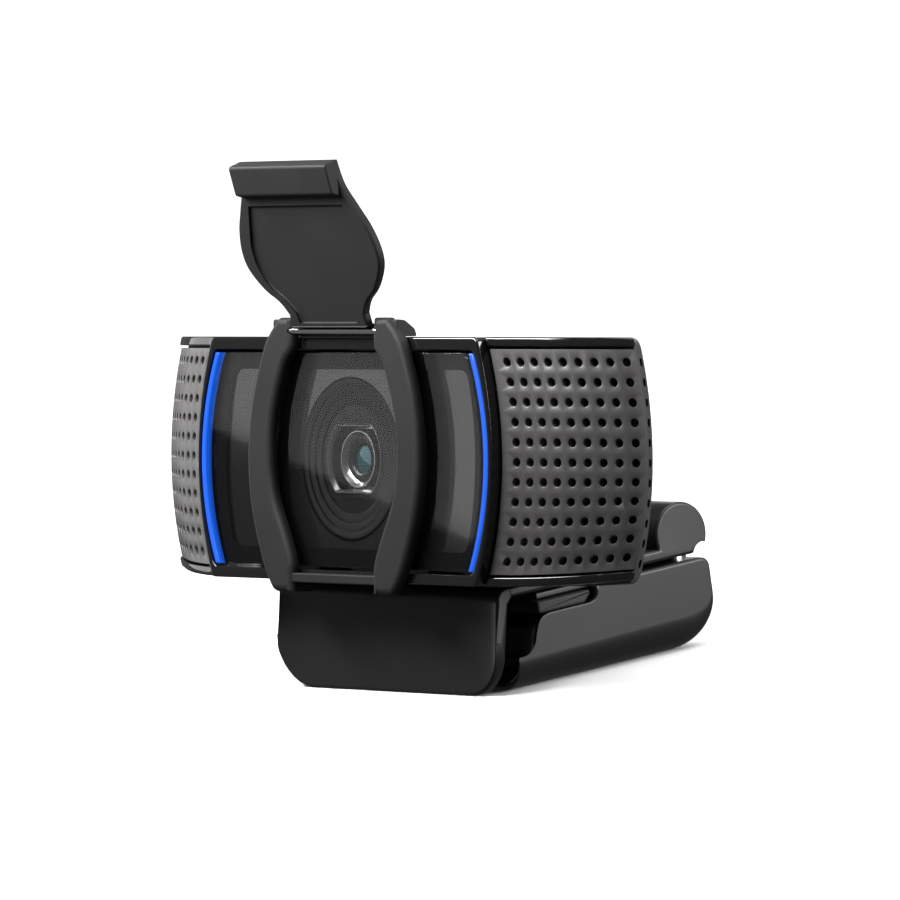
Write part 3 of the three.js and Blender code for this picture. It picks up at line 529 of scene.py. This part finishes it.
def cropped(grow, y, sides=128):
    """The frame's round opening, cropped flat above and below, grown all round."""
    points = []
    for a in [2 * math.pi * (i + 0.5) / sides for i in range(sides)]:
        reach = (LENS_FRAME["half_height"] + grow) / max(abs(math.sin(a)), 1e-6)
        radius = min(LENS_FRAME["opening"] + grow, reach)
        points.append((radius * math.cos(a), y, radius * math.sin(a)))
    return points


def lens_shroud():
    """Steps down towards the lens, each with a narrow rounded lip, and a floor with the lens's opening."""
    radii, step, front = RINGS["radii"], RINGS["step"], RINGS["front"]
    lip = 0.07
    profile = [(2.0, RINGS["back"]), (radii[0], RINGS["back"]), (radii[0], front + lip),
               (radii[0] - lip, front)]
    for index, radius in enumerate(radii[1:-1]):
        high, low = front + index * step, front + (index + 1) * step
        profile += [(radius + lip, high), (radius + lip * 0.3, high + lip * 0.3),
                    (radius, high + lip), (radius, low)]
    floor = front + (len(radii) - 2) * step
    profile.append((2.0, floor))
    shroud = make("lens_shroud_turned", turned(profile, sides=128))
    rebate = loft([cropped(0.5, 0), cropped(0.5, LENS_FRAME["front"] + 0.6)])
    opening = loft([cropped(0.02, 0), cropped(0.02, RINGS["back"] + 1)])
    boolean(shroud, [rebate, opening], "DIFFERENCE")
    dress(shroud, "head", "shroud", ["lens_shroud"])


def lens_frame():
    """A bright lip with a chamfer, let into the shroud's floor round the opening."""
    front = LENS_FRAME["front"]
    section = [(0.46, 0.56), (0.46, 0.06), (0.4, 0), (0.36, 0), (0.04, 0.36), (0.0, 0.42), (0.0, 0.56)]
    rings = [cropped(grow, front + back) for grow, back in section]
    piece = make("lens_frame_cropped", loft(rings, loop=True))
    dress(piece, "head", "bright", ["lens_frame"])


def lens_group():
    barrel = [(2.4, 9.0), (3.3, 9.0), (3.3, 3.35), (3.15, 3.2), (2.55, 3.2), (2.4, 3.35)]
    dress(make("lens_barrel_turned", turned(barrel, sides=96)), "lens",
          "dark", ["lens_barrel"])
    cone = [(3.45, 3.1), (3.45, 2.42), (3.38, 2.35), (3.26, 2.35), (2.72, 2.95), (2.6, 3.0), (2.6, 3.1)]
    dress(make("lens_cone", turned(cone, sides=96)), "lens",
          "bright", ["lens_retainer"])
    steps = [(1.75, 3.2), (2.6, 3.2), (2.6, 2.86), (2.5, 2.78), (2.42, 2.78), (2.36, 2.9), (2.2, 2.9),
             (2.14, 2.78), (2.06, 2.78), (2.0, 2.9), (1.75, 3.05)]
    dress(make("lens_front_ring", turned(steps, sides=96)), "lens", "shroud")
    for name, node, apex, edge, back in (("front_element", "front_lens", 3.15, 3.7, 4.8),
                                         ("rear_element", "rear_lens", 6.2, 6.7, 7.6)):
        radius = 2.1
        dome = [(radius * math.sin(a), edge - (edge - apex) * math.cos(a))
                for a in [math.pi / 2 * i / 12 for i in range(1, 13)]]
        turns = [2 * math.pi * k / 64 for k in range(64)]
        rings = [[(r * math.cos(t), y, r * math.sin(t)) for t in turns]
                 for r, y in [(0.02, apex)] + dome + [(radius, back)]]
        dress(make(name, loft(rings)), "lens", "glass", [node])


def light_pipes():
    narrowing = WINDOW["half_width"] - WINDOW["half_at_edges"]
    low, high = WINDOW["low"] + 0.1, WINDOW["high"] - 0.1
    middle = (low + high) / 2
    inner = [(LIGHT_PIPE["inner"] - narrowing, low), (LIGHT_PIPE["inner"] + narrowing, middle),
             (LIGHT_PIPE["inner"] - narrowing, high)]
    width = LIGHT_PIPE["outer"] - LIGHT_PIPE["inner"]
    outer = [(x + width, z) for x, z in inner]
    outline = curve(*outer, 28) + list(reversed(curve(*inner, 28)))
    shape = slab(outline, LIGHT_PIPE["front"], LIGHT_PIPE["back"], "y", 0.22, 0.05)
    both_sides("light_line_", shape, "light", "light_pipe_")


# ------------------------------------------------------------------ head: ends, bands, rear cover


def end_path():
    """The plan of an end, from beside the bezel round the corner to the seam, in small steps."""
    inner = BEZEL["half_width"] + GAP
    front = smooth_through([(inner, 1.3)] + END_PLAN, 4)
    wide, seam = HEAD["half_width"], HEAD["seam"]
    corner = curve(front[-1], (wide - 0.9, 7.45), (wide, 8.7), 16)
    return front + corner[1:] + [(wide, seam)]


class Path:
    """A plan line that is walked by its length."""

    def __init__(self, points):
        self.points = [Vector(p) for p in points]
        self.marks = [0.0]
        for a, b in zip(self.points, self.points[1:]):
            self.marks.append(self.marks[-1] + (b - a).length)
        self.length = self.marks[-1]

    def at(self, distance):
        """The point at that length, and the direction that points outwards."""
        last = len(self.points) - 2
        k = max(i for i in range(last + 1) if self.marks[i] <= distance + 1e-9 or i == 0)
        a, b = self.points[k], self.points[k + 1]
        share = (distance - self.marks[k]) / (self.marks[k + 1] - self.marks[k])
        tangents = []
        for index in (k, k + 1):
            before = self.points[max(index - 1, 0)]
            after = self.points[min(index + 1, len(self.points) - 1)]
            tangents.append((after - before).normalized())
        tangent = tangents[0].lerp(tangents[1], share).normalized()
        return a.lerp(b, share), Vector((tangent.y, -tangent.x))


def risen(z, along):
    """A height below the middle rises towards the end."""
    return z * (1 - BOTTOM_RISE * along * along if z < 0 else 1)


def bend(x, y, z):
    """The inner edge follows the bezel, the outer the bulged end, and the bottom rises outwards."""
    share = 1 - (z / HEAD["half_height"]) ** 2
    drawn = BEZEL["half_width"] + GAP
    inner = BEZEL["half_at_edges"] + (BEZEL["half_width"] - BEZEL["half_at_edges"]) * share + GAP
    outer = HEAD["half_at_edges"] + (HEAD["half_width"] - HEAD["half_at_edges"]) * share
    along = (x - drawn) / (HEAD["half_width"] - drawn)
    return (inner + along * (outer - inner), y, risen(z, along))


def cell_border(left, right, low, high):
    """Sixteen points round a cell, from its lower left corner, anticlockwise."""
    across = [left + (right - left) * i / 4 for i in range(4)]
    up = [low + (high - low) * i / 4 for i in range(4)]
    border = [(u, low) for u in across] + [(right, v) for v in up]
    border += [(right + left - u, high) for u in across]
    border += [(left, high + low - v) for v in up]
    return border


def perforated(path, half_height, wall, columns, rows, radius):
    """A wall along the path with a round hole in each cell, chamfered in front."""
    points, faces, known = [], [], {}

    def vertex(along, z, depth):
        key = (round(along, 4), round(z, 4), round(depth, 4))
        if key not in known:
            place, normal = path.at(along)
            spot = place - normal * depth
            known[key] = len(points)
            points.append(bend(spot.x, spot.y, z))
        return known[key]

    def edges(centres, low, high):
        inner = [(a + b) / 2 for a, b in zip(centres, centres[1:])]
        return [low] + inner + [high]

    across, up = edges(columns, 0, path.length), edges(rows, -half_height, half_height)
    for c, column in enumerate(columns):
        for r, row in enumerate(rows):
            border = cell_border(across[c], across[c + 1], up[r], up[r + 1])
            angles = [math.radians(225 + 22.5 * i) for i in range(16)]
            layers = [[(u, v, 0) for u, v in border]]
            for wider, depth in ((0.13, 0), (0.05, 0.03), (0, 0.12), (0, wall)):
                reach = radius + wider
                layers.append([(column + reach * math.cos(a), row + reach * math.sin(a), depth)
                               for a in angles])
            layers.append([(u, v, wall) for u, v in border])
            rings = [[vertex(*p) for p in layer] for layer in layers]
            for first, second in zip(rings, rings[1:]):
                faces += [(first[i], first[(i + 1) % 16], second[(i + 1) % 16], second[i])
                          for i in range(16)]
            sides = [(c == 0, 12), (c == len(columns) - 1, 4), (r == 0, 0), (r == len(rows) - 1, 8)]
            for outside, start in sides:
                for i in range(start, start + 4) if outside else ():
                    a, b = i, (i + 1) % 16
                    faces.append((rings[0][b], rings[0][a], rings[-1][a], rings[-1][b]))
    return points, faces


def row_heights():
    middle = (ROWS["count"] - 1) / 2
    return [(i - middle) * ROWS["pitch"] for i in range(ROWS["count"])]


def grilles():
    path = Path(end_path())
    columns = [GRILLE["first"] + i * GRILLE["pitch"] for i in range(GRILLE["columns"])]
    shape = perforated(path, GRILLE["half_height"], GRILLE["wall"], columns, row_heights(), GRILLE["hole"])
    both_sides("grille_perforated_", shape, "grille", "grille_")


def edge_bands():
    """A glossy plate that closes the end's top or bottom, its rim a little proud of the grille."""
    path = Path(end_path())
    steps = 60
    proud, wall = BAND["proud"], GRILLE["wall"]
    for level, low, high in (("top", BAND["low"], BAND["high"]), ("bottom", -BAND["high"], -BAND["low"])):
        section = filleted([(proud, low, 0.25), (proud, high, 0.25), (-wall, high, 0), (-wall, low, 0)], 5)
        rings = []
        for i in range(-1, steps + 1):
            place, normal = path.at(path.length * max(i, 0) / steps)
            if i < 0:  # a tongue that fills the gap beside the bezel, behind the rim's face
                place = place + Vector((-0.9 * GAP, 0.5))
            ring = []
            for out, z in section:
                spot = place + normal * out
                if out < 0:
                    spot = Vector((min(place.x, HEAD["half_width"] - wall), HEAD["seam"]))
                ring.append(bend(spot.x, spot.y, z))
            rings.append(ring)
        both_sides(level + "_rim_", loft(rings), "gloss", level + "_band_")


def rear_half_width(y):
    """Half the rear cover's width at mid height, at a depth."""
    stations = [(9.1, 46.6), (9.6, 46.45), (10.4, 46.0), (11.2, 45.3), (12.2, 43.7), (14.0, 39.4),
                (16.0, 33.0), (18.0, 24.6), (19.2, 15.5), (19.8, 7.6), (19.98, 2.4)]
    for (y0, x0), (y1, x1) in zip(stations, stations[1:]):
        if y <= y1:
            return x0 + (x1 - x0) * (y - y0) / (y1 - y0)
    return stations[-1][1]


def rear_heights(y):
    """The rear cover's lowest and highest height at a depth."""
    if y < 12:
        return -14.5, 14.5
    share = (y - 12) / 8
    high = 14.5 - 7.5 * (1 - math.sqrt(max(1 - share ** 2, 0)))
    return -14.5 + 5.3 * share ** 0.85, high


def rear_rings(in_by, floor):
    depths = [9.15, 9.5, 10.0, 10.7, 11.4, 12.2, 13.2, 14.4, 15.6, 16.8, 17.8, 18.6, 19.2, 19.6, 19.85,
              19.97]
    rings = []
    for index, y in enumerate(depths):
        half = rear_half_width(y) - in_by
        low, high = rear_heights(y)
        low, high = max(low + in_by, floor), high - in_by
        corner = 0.6 + 3.0 * index / (len(depths) - 1)
        half = max(half, 0.8)
        narrowing = (HEAD["half_width"] - HEAD["half_at_edges"]) * half / HEAD["half_width"]
        outline = bulged(half - narrowing, half, low, high, min(corner, half * 0.6, (high - low) * 0.3))
        ring = []
        for x, z in outline:
            along = max(abs(x) - BEZEL["half_width"], 0) / (HEAD["half_width"] - BEZEL["half_width"])
            ring.append((x, y - in_by if index else y, risen(z, along)))
        rings.append(ring)
    return rings


def rear_cover():
    """A shell, crowned to the back, with a column of holes beside the seam at each end."""
    outside = rear_rings(0, -20)
    inside = rear_rings(1.4, -12.9)
    outer_points, outer_faces = loft(outside)
    inner_points, inner_faces = loft(inside)
    del outer_faces[-2], inner_faces[-2]
    count = len(outside[0])
    shape = together((outer_points, outer_faces), (inner_points, inner_faces))
    start = len(outer_points)
    shape[1].extend((i, (i + 1) % count, start + (i + 1) % count, start + i) for i in range(count))
    cover = make("rear_cover_shell", shape)
    slots = []
    for z in row_heights():
        hole = filleted([(9.75, z - 0.5, 0.35), (10.45, z - 0.5, 0.35),
                         (10.45, z + 0.5, 0.35), (9.75, z + 0.5, 0.35)])
        slots.append(slab(hole, -60, 60, "x"))
    cuts = [together(*slots), box((-22.6, 22.6), (5, 13.6), (-18, -13)),
            box((-8.5, 8.5), (12.9, 17.9), (-18, -8)), rod(1.9, 15, 25, "y", (0, -1))]
    boolean(cover, cuts, "DIFFERENCE")
    dress(cover, "head", "rear", ["rear_cover"])


def cable_gland():
    profile = [(1.1, 21.3), (1.25, 21.4), (2.5, 21.4), (2.75, 21.3), (2.9, 21.05), (2.9, 20.35),
               (1.6, 20.35), (1.6, 17.4), (1.1, 17.4)]
    dress(make("cable_inlet", turned(profile, centre=(0, -1), sides=64)), "head",
          "rubber", ["cable_gland"])


# ------------------------------------------------------------------ privacy shutter


def shutter_arm(sign):
    """One crowned arm: its inner edge is the opening's, its outer edge bows out."""
    top, bottom = SHUTTER["top"], SHUTTER["bottom"]
    outer = smooth_through([(10.9, top)] + ARM_EDGE + [(12.6, -15.2), (11.6, bottom)])
    inner = smooth_through([(8.1, top)] + OPENING_EDGE + [(8, -13.9), (8, bottom)])
    outline = [(sign * x, z) for x, z in outer + list(reversed(inner))]
    front, back = SHUTTER["front"], SHUTTER["back"]
    steps = [(0.86, 0), (0.72, 0.015), (0.5, 0.08), (0.3, 0.19), (0.13, 0.36), (0.03, 0.6), (0, 0.85)]
    rings = [(in_by, front + d) for in_by, d in steps] + [(0.06, back)]
    return loft([[(u, y, v) for u, v in inset(outline, i)] for i, y in rings])


def shutter_frame():
    front, top, bottom = SHUTTER["front"], SHUTTER["top"], SHUTTER["bottom"]
    piece = make("shutter_arms", shutter_arm(1))
    saddle = [(front + 0.5, 14.58, 0.25), (1.9, 14.58, 0.25), (1.55, 15.5, 0.6), (0.1, top - 0.3, 0.9),
              (front + 0.5, top - 0.2, 0.3)]
    rail = [(-8.4, -14.75, 0.3), (8.4, -14.75, 0.3), (8.4, -13.6, 0.3), (-8.4, -13.6, 0.3)]
    added = [shutter_arm(-1), box((-8.6, 8.6), (0.25, 1.6), (14.7, 15.3), 0.1),
             slab(filleted(rail, 3), front + 0.25, -0.45, "y", 0.2, 0.1)]
    for sign in (-1, 1):
        added.append(slab(filleted(saddle), *span(sign, 8.15, 12.4), "x", 0.12, 0.12))
        added.append(box(span(sign, 8.05, 11.4), (-1.0, 1.5), (bottom + 0.05, -14.85), 0.15))
    boolean(piece, added, "UNION")
    axis, reach = (PIN["y"], PIN["z"]), PIN["half_length"]
    boolean(piece, [rod(PIN_BORE, -8.95, 8.95, "x", axis)], "DIFFERENCE")
    dress(piece, "head", "soft", ["shutter_frame"])
    pin = rod(PIN["radius"], -reach, reach, "x", axis, 0.12)
    dress(make("shutter_pin_polished", pin), "head", "chrome", ["shutter_pin"])


def shutter_flap():
    """Drawn upright on its pin: a plate with a shallow pocket, a thick tab and a knuckle."""
    half, length, neck = FLAP["thickness"] / 2, FLAP["length"], FLAP["neck"]
    outline = mirrored_outline(FLAP_EDGE, (neck, 0), (9.6, length))
    plate = make("privacy_flap", slab(outline, -half, half, "y", 0.3, 0.3))
    boolean(plate, [rod(FLAP["knuckle"], -neck, neck, "x")], "UNION")
    pocket = mirrored_outline(POCKET_EDGE, (5.7, 1.1), (9.4, 15.9))
    bore = rod(PIN_BORE, -10, 10, "x")
    open_front = box((-8, 8), (-2.5, 0.1), (-2, 0.7))
    boolean(plate, [slab(pocket, -1.5, -0.2, "y", 0, 0.2), bore, open_front], "DIFFERENCE")
    top, reach = length - 0.02, TAB["half_width"]
    tab = filleted([(0.25, TAB["low"], 0.4), (TAB["front"], TAB["shoulder"], 0.5),
                    (TAB["front"] + 0.1, top, 0.5), (0.25, top, 0.4)])
    boolean(plate, [slab(tab, -reach, reach, "x", 0.2, 0.2)], "UNION")
    dress(plate, "shutter", "soft", ["shutter_flap"])


# ------------------------------------------------------------------ clip


def lifted(outline, low, top):
    """The outline with its bottom raised to low, squeezed below top."""
    return [(u, v if v >= top else low + v * (top - low) / top) for u, v in outline]


def corner_lift(x, half, radius_across, radius_up):
    """How far a rounded lower corner has risen at x."""
    into = abs(x) - (half - radius_across)
    if into <= 0:
        return 0.0
    share = min(into / radius_across, 1)
    return radius_up * (1 - math.sqrt(1 - share * share))


def across_x(outline, half, top, radius_across, radius_up, edge, ease=None):
    """A profile in Y and Z swept across X, with rounded lower corners and rounded rims at the ends."""
    flat = half - radius_across
    places = [flat * i / 3 for i in range(4)]
    places += [flat + radius_across * math.sin(math.pi / 2 * i / 12) for i in range(1, 12)]
    rings = []
    for x in sorted(set([-p for p in places] + places)):
        if abs(x) < half - edge:
            rings.append((x, 0))
    rims = [(half - d, i) for i, d in quarter(edge, 4)]
    rings = [(-x, i) for x, i in rims] + rings + [(x, i) for x, i in reversed(rims)]
    made = []
    for x, in_by in rings:
        lift = corner_lift(x, half, radius_across, radius_up)
        made.append([(x, u, v) for u, v in inset(lifted(outline, lift, top), in_by, ease)])
    return loft(made)


def lip_profile():
    """The front lip from its rounded top edge down to its foot and up its back, in Y and Z."""
    top_y, bottom_y, thick = CLIP["lip_top_y"], CLIP["lip_bottom_y"], CLIP["lip_thickness"]
    above, below = CLIP["plate_top"], CLIP["plate_bottom"]
    line = curve((top_y + 1.6, above), (top_y, above), (top_y - 0.2, above - 1.7), 8)
    line += curve((bottom_y, 0.6), (bottom_y, 0), (bottom_y + 0.6, 0), 5)
    line += curve((bottom_y + thick - 0.5, 0), (bottom_y + thick, 0), (bottom_y + thick, 0.5), 5)
    line += [(top_y + thick - 0.1, below - 0.6), (top_y + thick + 0.5, below)]
    return line + [(top_y + 2.2, below), (top_y + 2.2, above)]


def bracket():
    """The lip, the plate with its thick rear barrel, the middle knuckle and the two tilt ears."""
    c, b, h = CLIP, BARREL_END, FOOT_HINGE
    hinge = (h["y"], h["z"])
    piece = make("clip_bracket", across_x(lip_profile(), c["lip_half"], 10.0, c["corner"], c["corner"], 0.35))
    low = math.degrees(math.asin((c["plate_bottom"] - b["z"]) / b["radius"]))
    high = 180 - math.degrees(math.asin((c["plate_top"] - b["z"]) / b["radius"]))
    start = c["lip_top_y"] + 1.4
    plate = [(start, c["plate_top"] - 0.05), (start, c["plate_bottom"] + 0.05)]
    plate += arc((b["y"], b["z"]), b["radius"], low, high, 36)
    width = c["half_width"]
    added = [slab(plate, -width, width, "x", 0.4, 0.4),
             rod(h["knuckle"], -h["inner"], h["inner"], "x", hinge)]
    boolean(piece, added, "UNION")
    reliefs = [rod(h["relief"], *span(sign, h["inner"] + 0.1, CLEAR), "x", hinge) for sign in (-1, 1)]
    boolean(piece, reliefs + [rod(h["bore"], -CLEAR, CLEAR, "x", hinge)], "DIFFERENCE")
    axis = TO_CLIP.inverted() @ Vector(joint("head_tilt")["pos_m"])
    ears = []
    for sign in (-1, 1):
        ear = [(axis.y + 1.9, 12.2)] + arc((axis.y, axis.z), 1.9, 0, 180, 18) + [(axis.y - 1.9, 12.2)]
        ears.append(slab(ear, *span(sign, 5.3, 8.0), "x", 0.2, 0.2))
    boolean(piece, ears, "UNION")
    boolean(piece, [rod(0.9, -CLEAR, CLEAR, "x", (axis.y, axis.z))], "DIFFERENCE")
    dress(piece, "root", "clip", ["bracket"])


def clip_pads():
    carrier = box((-20.6, 20.6), (-5.5, 2.3), (10.2, 10.9), 0.2)
    dress(make("pad_tray", carrier), "root", "dark", ["pad_carrier"])
    section = filleted([(-5.6, 8.45, 0.4), (1.4, 8.45, 0.5), (2.35, 9.4, 0.5), (2.35, 9.9, 0.4),
                        (-5.6, 9.9, 0.4)])
    pad = slab(section, -20.8, 20.8, "x", 0.35, 0.35)
    dress(make("edge_pad", pad), "root", "rubber", ["plate_pad"])


def foot_profile():
    """The notch, the toe's slope, the toe, the rounded heel and the heel's top, in Y and Z."""
    rear, floor, top, notch = FOOT["rear"], FOOT["notch_floor"], FOOT["top"], FOOT["notch_rear"]
    line = [(notch, top)]
    line += curve((notch, floor + 1.4), (notch, floor), (notch - 1.6, floor), 8)
    line += curve((-4.0, floor), (-6.0, floor), (-6.6, 6.2), 8)
    line += curve((-7.1, 4.4), (-7.6, 1.1), (-9.4, 0.9), 8)
    line += curve((-9.8, 0.85), (-10.1, 0.5), (-9.8, 0.0), 4)
    line += curve((rear - 5, 0), (rear, 0), (rear, 5), 12)
    line += curve((rear, top - 1.5), (rear, top), (rear - 1.5, top), 6)
    return line


def thin_toe(y, z):
    """The toe is thin, so its rims are rounded less."""
    return min(max((y + 10.5) / 4, 0.2), 1)


def foot_shell():
    h = FOOT_HINGE
    hinge = (h["y"], h["z"])
    housing = across_x(foot_profile(), FOOT["half_width"], 10.0, 4.2, 3.6, 0.45, thin_toe)
    body = make("foot_housing", housing)
    inside = FOOT["half_width"] - 2.5
    cuts = [box((-inside, inside), (-12, 18.1), (1.5, 7.2), 0.4),
            box((-15, 15), (5, 15), (9.9, 12), 0.2),
            rod(h["relief"] + 0.1, -h["outer"], h["outer"], "x", hinge, 0.02),
            rod(SOCKET["hole"], -1, 2.5, "z", SOCKET["centre"])]
    boolean(body, cuts, "DIFFERENCE")
    knuckles = []
    for sign in (-1, 1):
        eye = [(h["y"] - 1, h["z"] - 2), (h["y"] + 0.4, h["z"] - 2)]
        eye += arc(hinge, h["knuckle"], -20, 180, 16)
        knuckles.append(slab(eye, *span(sign, h["inner"] + GAP, h["outer"] + 0.02), "x", 0.08, 0.0))
    boolean(body, knuckles, "UNION")
    boolean(body, [rod(h["bore"], -CLEAR, CLEAR, "x", hinge)], "DIFFERENCE")
    dress(body, "foot", "clip", ["foot_shell"])


def foot_core():
    """The dark insert seen in the open front, with a stepped rim."""
    body = make("foot_insert", box((-18.5, 18.5), (-6.2, 17.6), (1.85, 6.85), 0.3))
    cuts = [box((-17.6, 17.6), (-8, -5.8), (2.5, 6.2), 0.3), box((-17, 17), (-8, -4.4), (3, 5.8), 0.3),
            rod(SOCKET["hole"], 0, 6.6, "z", SOCKET["centre"])]
    boolean(body, cuts, "DIFFERENCE")
    dress(body, "foot", "dark", ["foot_core"])
    pad = box((-14.7, 14.7), (5.3, 14.7), (10.2, 10.8), 0.2)
    dress(make("foot_grip", pad), "foot", "rubber", ["foot_pad"])


def tripod_nut():
    """A threaded insert with a chamfered mouth."""
    radius, pitch = SOCKET["radius"], SOCKET["pitch"]
    profile = [(4.4, 0.4), (4.25, 0.25), (3.5, 0.25)]
    z = 0.6
    while z < 5.6:
        profile += [(radius, z), (SOCKET["thread"], z + pitch / 2)]
        z += pitch
    profile += [(radius, 6.0), (3.3, 6.3), (4.4, 6.3)]
    dress(make("threaded_socket", turned(profile, "z", SOCKET["centre"], 72)), "foot",
          "brass", ["tripod_nut"])


# ------------------------------------------------------------------ CAD nodes that keep their shape

NODE_FINISH = {
    "focus_actuator": "steel", "infrared_filter": "filter", "image_sensor": "chip", "chassis": "dark",
    "main_board": "board", "image_processor": "chip", "board_connector": "white", "tilt_lug": "steel",
    "tilt_pin": "steel", "foot_pin": "chrome", "lip_pad": "rubber",
}
PREFIX_FINISH = {
    "board_screw": "steel", "status_light": "white", "acoustic_mesh": "cloth", "microphone_boot": "rubber",
    "microphone": "steel", "tilt_washer": "steel",
}


def dress_cad_nodes():
    for name, node in frame["nodes"].items():
        if node.hide_render:
            continue
        finish = NODE_FINISH.get(name)
        if finish is None:
            prefix = max((p for p in PREFIX_FINISH if name.startswith(p)), key=len)
            finish = PREFIX_FINISH[prefix]
        node.data.materials.clear()
        node.data.materials.append(FINISH[finish])
        rounded = node.modifiers.new("rounded", "BEVEL")
        rounded.width = 0.08 * MM
        rounded.segments = 2
        rounded.limit_method = "ANGLE"
        rounded.angle_limit = math.radians(40)


# ------------------------------------------------------------------ studio

VIEW = {"turn": 53.0, "rise": 0.014, "distance": 1060.0, "target": (7.68, 10.24, 1.1)}


def camera():
    data = bpy.data.cameras.new("camera")
    data.lens = 358
    data.sensor_width = 36
    data.clip_start, data.clip_end = 0.05, 50
    holder = bpy.data.objects.new("camera", data)
    bpy.context.scene.collection.objects.link(holder)
    bpy.context.scene.camera = holder
    turn = TO_HEAD.to_3x3().normalized()
    angle = math.radians(VIEW["turn"])
    back = Vector((math.sin(angle), -math.cos(angle), VIEW["rise"])).normalized()
    right = Vector((0, 0, 1)).cross(back).normalized()
    up = back.cross(right)
    axes = turn @ Matrix((right, up, back)).transposed()
    place = TO_HEAD @ (Vector(VIEW["target"]) + back * VIEW["distance"])
    holder.matrix_world = Matrix.Translation(place) @ axes.to_4x4()
    return holder


def area_light(name, size, power):
    data = bpy.data.lights.new(name, "AREA")
    data.shape = "RECTANGLE"
    data.size, data.size_y = size
    data.energy = power
    holder = bpy.data.objects.new(name, data)
    bpy.context.scene.collection.objects.link(holder)
    return holder


def soft_light(name, place, target, size, power):
    holder = area_light(name, size, power)
    aim = (Vector(target) - Vector(place)).to_track_quat("-Z", "Y")
    holder.matrix_world = Matrix.Translation(place) @ aim.to_matrix().to_4x4()


BEHIND_WINDOW = ("window_pane", "window_print", "mask_plate_detailed", "lens_shroud_turned",
                 "lens_frame_cropped", "lens_cone", "lens_front_ring", "front_element")


def glare_card(holder):
    """The light that the window mirrors, its slanting edge from mid left to the lower right."""
    ends = [TO_HEAD @ Vector((-25.9, 0, 7.5)), TO_HEAD @ Vector((27.7, 0, -9.2))]
    normal = (TO_HEAD.to_3x3() @ Vector((0, 1, 0))).normalized()
    eye = holder.matrix_world.translation
    mirror_eye = eye - 2 * (eye - ends[0]).dot(normal) * normal
    reach = 0.45
    edge = [mirror_eye + (end - mirror_eye) * (1 + reach / (end - mirror_eye).length) for end in ends]
    along = (edge[1] - edge[0]).normalized()
    towards = ((mirror_eye - edge[0]) + (mirror_eye - edge[1])).normalized()
    up = along.cross(towards).normalized()
    if up.z < 0:
        up.negate()
    size = (0.5, 0.34)
    middle = (edge[0] + edge[1]) / 2 + up * size[1] / 2 + along * 0.05
    z = (middle - mirror_eye).normalized()
    x = (along - along.dot(z) * z).normalized()
    y = z.cross(x)
    light = area_light("glare_card", size, 0.95)
    light.matrix_world = Matrix.Translation(middle) @ Matrix((x, y, z)).transposed().to_4x4()
    lit = bpy.data.collections.new("lit_by_glare_card")
    for name in BEHIND_WINDOW:
        lit.objects.link(bpy.data.objects[name])
    light.light_linking.receiver_collection = lit


def studio():
    floor_shape = slab([(-3, -3), (3, -3), (3, 3), (-3, 3)], -0.01, 0, "z")
    floor = make("floor", floor_shape)
    floor.data.materials.append(material("floor_paint", grey(0.92), 0.8, grain=0.5, bump=0.05, mottle=0.01))
    floor.visible_diffuse = False
    floor.visible_glossy = False
    world = bpy.data.worlds.new("studio")
    bpy.context.scene.world = world
    world.use_nodes = True
    tree = world.node_tree
    background = tree.nodes["Background"]
    background.inputs["Color"].default_value = (1, 1, 1, 1)
    path = tree.nodes.new("ShaderNodeLightPath")
    level = tree.nodes.new("ShaderNodeMapRange")
    level.inputs["To Min"].default_value = 0.12
    level.inputs["To Max"].default_value = 1.0
    tree.links.new(path.outputs["Is Camera Ray"], level.inputs["Value"])
    tree.links.new(level.outputs["Result"], background.inputs["Strength"])
    bpy.context.scene.view_settings.view_transform = "Standard"
    sun = bpy.data.lights.new("overhead", "SUN")
    sun.energy = 3.3
    sun.angle = math.radians(70)
    holder = bpy.data.objects.new("overhead", sun)
    bpy.context.scene.collection.objects.link(holder)
    holder.rotation_euler = (math.radians(-12), math.radians(10), 0)
    soft_light("behind", (-0.5, 0.75, 0.3), (0, 0, 0.03), (0.6, 0.3), 1.5)
    soft_light("front_high", (-0.06, -0.1, 0.14), (0, 0, 0.06), (0.16, 0.05), 0.8)
    soft_light("right", (0.5, 0.33, 0.14), (0.02, 0, 0.02), (0.3, 0.34), 4.8)
    soft_light("left", (-0.5, -0.06, 0.12), (0, 0, 0.04), (0.25, 0.3), 0.32)
    glare_card(camera())


front_bezel()
front_window()
window_print()
mask_plate()
lens_shroud()
lens_frame()
lens_group()
light_pipes()
grilles()
edge_bands()
rear_cover()
cable_gland()
shutter_frame()
shutter_flap()
bracket()
clip_pads()
foot_shell()
foot_core()
tripod_nut()
dress_cad_nodes()
studio()
